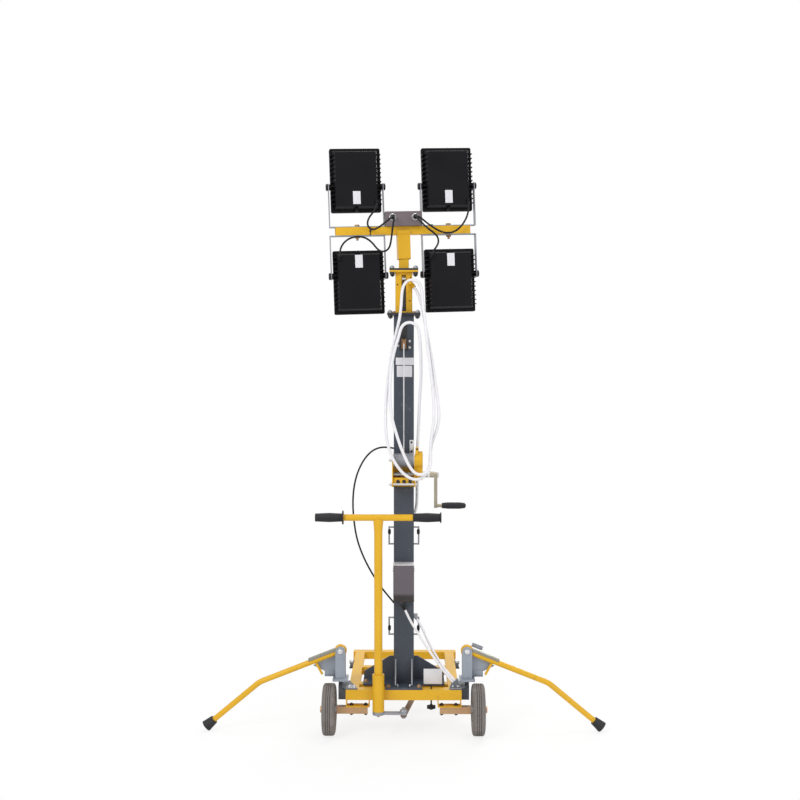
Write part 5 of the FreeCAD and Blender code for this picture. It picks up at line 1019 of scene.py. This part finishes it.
# Steering knuckle: a rounded boot and nut over the link's joint.
bm = bmesh.new()
lathe(
    bm, [(0, 18), (3, 19), (9, 18), (13, 14), (15, 11), (15.2, 0)], spot(0, TILLER_Y, 128.8), UP, 32,
)
lathe(bm, [(0, 8.5), (6, 8.5), (7, 7), (7.1, 0)], spot(0, TILLER_Y, 144), UP, 6)
dress(finish_mesh("knuckle_cap", bm, 40), "grey_steel", "tiller_handle")

# Outriggers.
LEG_Y = -81
PIVOT_X = 312.5
PIVOT_Z = 400
SLOPE = math.atan2(PIVOT_Z - 242, 715 - PIVOT_X)
SADDLE_ENDS = (14, 164)
SADDLE_SECTION = [
    (-15, 8), (-15, 19), (-13.6, 20.4), (13.6, 20.4), (15, 19), (15, 8), (12.4, 7.4),
    (9.0, 11.2), (4.5, 13.6), (0, 14.3), (-4.5, 13.6), (-9.0, 11.2), (-12.4, 7.4),
]
WEB_OUTLINE = [(334, 266), (393, 266), (393, 296), (334, 296)]
WEB_Y = (-64.2, -60.2)
PRONG_OUTLINE = [(430, 342), (440, 336), (408, 279), (398, 283)]
PRONG_Y = (LEG_Y - 4, LEG_Y + 4)
for side, sign in SIDES:
    arm = "outrigger_arm_" + side
    swivel = "outrigger_swivel_" + side
    rods(
        "pivot_nut_" + side, "plated_steel", swivel,
        [([(-1, 13), (2, 13), (2.4, 11.4)], (sign * PIVOT_X, LEG_Y - 24.5, PIVOT_Z), AHEAD),
         ([(2, 10.8), (10, 10.8), (11.4, 9)], (sign * PIVOT_X, LEG_Y - 24.5, PIVOT_Z), AHEAD)],
    )
    rods(
        "swivel_nut_" + side, "plated_steel", "chassis",
        [([(-1.2, 13.6), (7.4, 13.6), (8.6, 11.6)], (sign * PIVOT_X, LEG_Y, 268.6), UP)], sides=6,
    )
    rods(
        "leg_eye_" + side, "yellow_paint", arm,
        [([(0, 26), (1.6, 29), (4, 30.4), (22, 30.4), (24.4, 29), (26, 26)],
          (sign * PIVOT_X, LEG_Y - 13, PIVOT_Z), (0, 1, 0))], sides=40,
    )
    # A narrow bar on top of the leg, hollowed under to sit on the tube.
    slope = Vector((sign * math.cos(SLOPE), 0, -math.sin(SLOPE)))
    rise = Vector((sign * math.sin(SLOPE), 0, math.cos(SLOPE)))
    ends = []
    for along in SADDLE_ENDS:
        centre = spot(sign * PIVOT_X, LEG_Y, PIVOT_Z) + slope * along / 1000
        ends.append([
            centre + Vector((0, across / 1000, 0)) + rise * up / 1000 for across, up in SADDLE_SECTION
        ])
    bm = bmesh.new()
    prism(bm, *ends)
    dress(
        finish_mesh("saddle_bar_" + side, bm, 35), "saddle_paint", arm,
        replaces=("leg_saddle_" + side,),
    )
    # Web from the quadrant plate down to the flange, with a folded lip.
    plate(
        "quadrant_web_" + side, "head_paint", swivel,
        *([spot(sign * x, y, z) for x, z in WEB_OUTLINE] for y in WEB_Y), bevel=0.6,
    )
    boxes(
        "quadrant_lip_" + side, "head_paint", swivel,
        [mirrored(sign, (350, -72, 268.2), (393, -62, 271.4))], bevel=0.8,
    )
    # A bent prong under the leg.
    plate(
        "leg_prong_" + side, "yellow_paint", arm,
        *([spot(sign * x, y, z) for x, z in PRONG_OUTLINE] for y in PRONG_Y), bevel=1.2, profile=0.0,
    )
    # Stowage bracket and pin on the rail.
    boxes(
        "stow_bracket_" + side, "black_paint", "chassis",
        [mirrored(sign, (270, 352, 190), (273, 388, 236)),
         mirrored(sign, (272, 358, 191), (295, 382, 196))], bevel=0.8,
    )
    rods(
        "stow_pin_" + side, "plated_steel", "chassis",
        [([(0, 9), (1, 10), (17, 10), (18, 11.4), (22, 11.4), (23, 9)], (sign * 272, 370, 226),
          (sign, 0, 0))], sides=24,
    )
# Ribbed spring grip on the right leg's saddle.
GRIP_RIBS = 11
GRIP_PITCH = 5
profile = []
for k in range(GRIP_RIBS):
    rib = k * GRIP_PITCH
    profile += [(rib, 8.4), (rib + 1.2, 10.6), (rib + 3.6, 10.6)]
profile.append((GRIP_RIBS * GRIP_PITCH, 8.4))
turned(
    "spring_grip", "grey_steel", "outrigger_arm_right", profile, spot(338, LEG_Y, 432),
    (math.cos(SLOPE), 0, -math.sin(SLOPE)), 24, angle=30,
)

# Floor: plain and pale, brighter to the camera away from the object, with the object's shadow.
FLOOR_DROP = 0.0006
GLOW_NEAR = 0.9
GLOW_FAR = 1.9
bm = bmesh.new()
bmesh.ops.create_grid(bm, x_segments=1, y_segments=1, size=30)
floor = finish_mesh("floor", bm)
floor_material, nodes, links = blank_material("floor")
shader = nodes["Principled BSDF"]
shader.inputs["Base Color"].default_value = (0.92, 0.92, 0.92, 1)
shader.inputs["Roughness"].default_value = 0.9
shader.inputs["Specular IOR Level"].default_value = 0.1
glow = nodes.new("ShaderNodeEmission")
glow.inputs["Strength"].default_value = 1.0
seen = nodes.new("ShaderNodeLightPath")
place = nodes.new("ShaderNodeNewGeometry")
reach = nodes.new("ShaderNodeVectorMath")
reach.operation = "LENGTH"
links.new(place.outputs["Position"], reach.inputs[0])
glow_share = nodes.new("ShaderNodeMapRange")
glow_share.inputs["From Min"].default_value = GLOW_NEAR
glow_share.inputs["From Max"].default_value = GLOW_FAR
glow_share.inputs["To Min"].default_value = 0.80
glow_share.inputs["To Max"].default_value = 1.0
links.new(reach.outputs["Value"], glow_share.inputs["Value"])
share = nodes.new("ShaderNodeMath")
share.operation = "MULTIPLY"
links.new(seen.outputs["Is Camera Ray"], share.inputs[0])
links.new(glow_share.outputs["Result"], share.inputs[1])
mix = nodes.new("ShaderNodeMixShader")
links.new(share.outputs["Value"], mix.inputs["Fac"])
links.new(shader.outputs["BSDF"], mix.inputs[1])
links.new(glow.outputs["Emission"], mix.inputs[2])
links.new(mix.outputs["Shader"], nodes["Material Output"].inputs["Surface"])
floor.data.materials.append(floor_material)
floor.location.z = -FLOOR_DROP

# World: white to the camera and in reflections, and an even light on the object.
WORLD_LIGHT = 0.55
world = bpy.data.worlds.new("studio")
world.use_nodes = True
bpy.context.scene.world = world
nodes, links = world.node_tree.nodes, world.node_tree.links
sky = nodes["Background"]
sky.inputs["Color"].default_value = (1, 1, 1, 1)
seen = nodes.new("ShaderNodeLightPath")
shown = seen.outputs["Is Camera Ray"]
for ray in ("Is Glossy Ray", "Is Transmission Ray"):
    either = nodes.new("ShaderNodeMath")
    either.operation = "MAXIMUM"
    links.new(shown, either.inputs[0])
    links.new(seen.outputs[ray], either.inputs[1])
    shown = either.outputs["Value"]
level = nodes.new("ShaderNodeMapRange")
level.inputs["To Min"].default_value = WORLD_LIGHT
level.inputs["To Max"].default_value = 1.0
links.new(shown, level.inputs["Value"])
links.new(level.outputs["Result"], sky.inputs["Strength"])

# Soft lamps: place, aim, power in watts and size in metres.
LIGHTS = {
    "key": ((-3.2, -4.6, 4.6), (0, 0, 1.2), 165, 2.6),
    "fill": ((4.2, -4.2, 2.6), (0, 0, 1.2), 70, 3.0),
    "top": ((0.4, 0.6, 5.6), (0, -0.2, 0.8), 70, 2.6),
    "rear": ((2.4, 5.0, 3.6), (0, 0, 1.2), 120, 3.0),
}
for name, (place, aim, power, size) in LIGHTS.items():
    data = bpy.data.lights.new(name, "AREA")
    data.energy = power
    data.size = size
    light = link(name, data)
    light.location = place
    light.rotation_euler = (Vector(aim) - Vector(place)).to_track_quat("-Z", "Y").to_euler()

bpy.context.scene.view_settings.view_transform = "Standard"
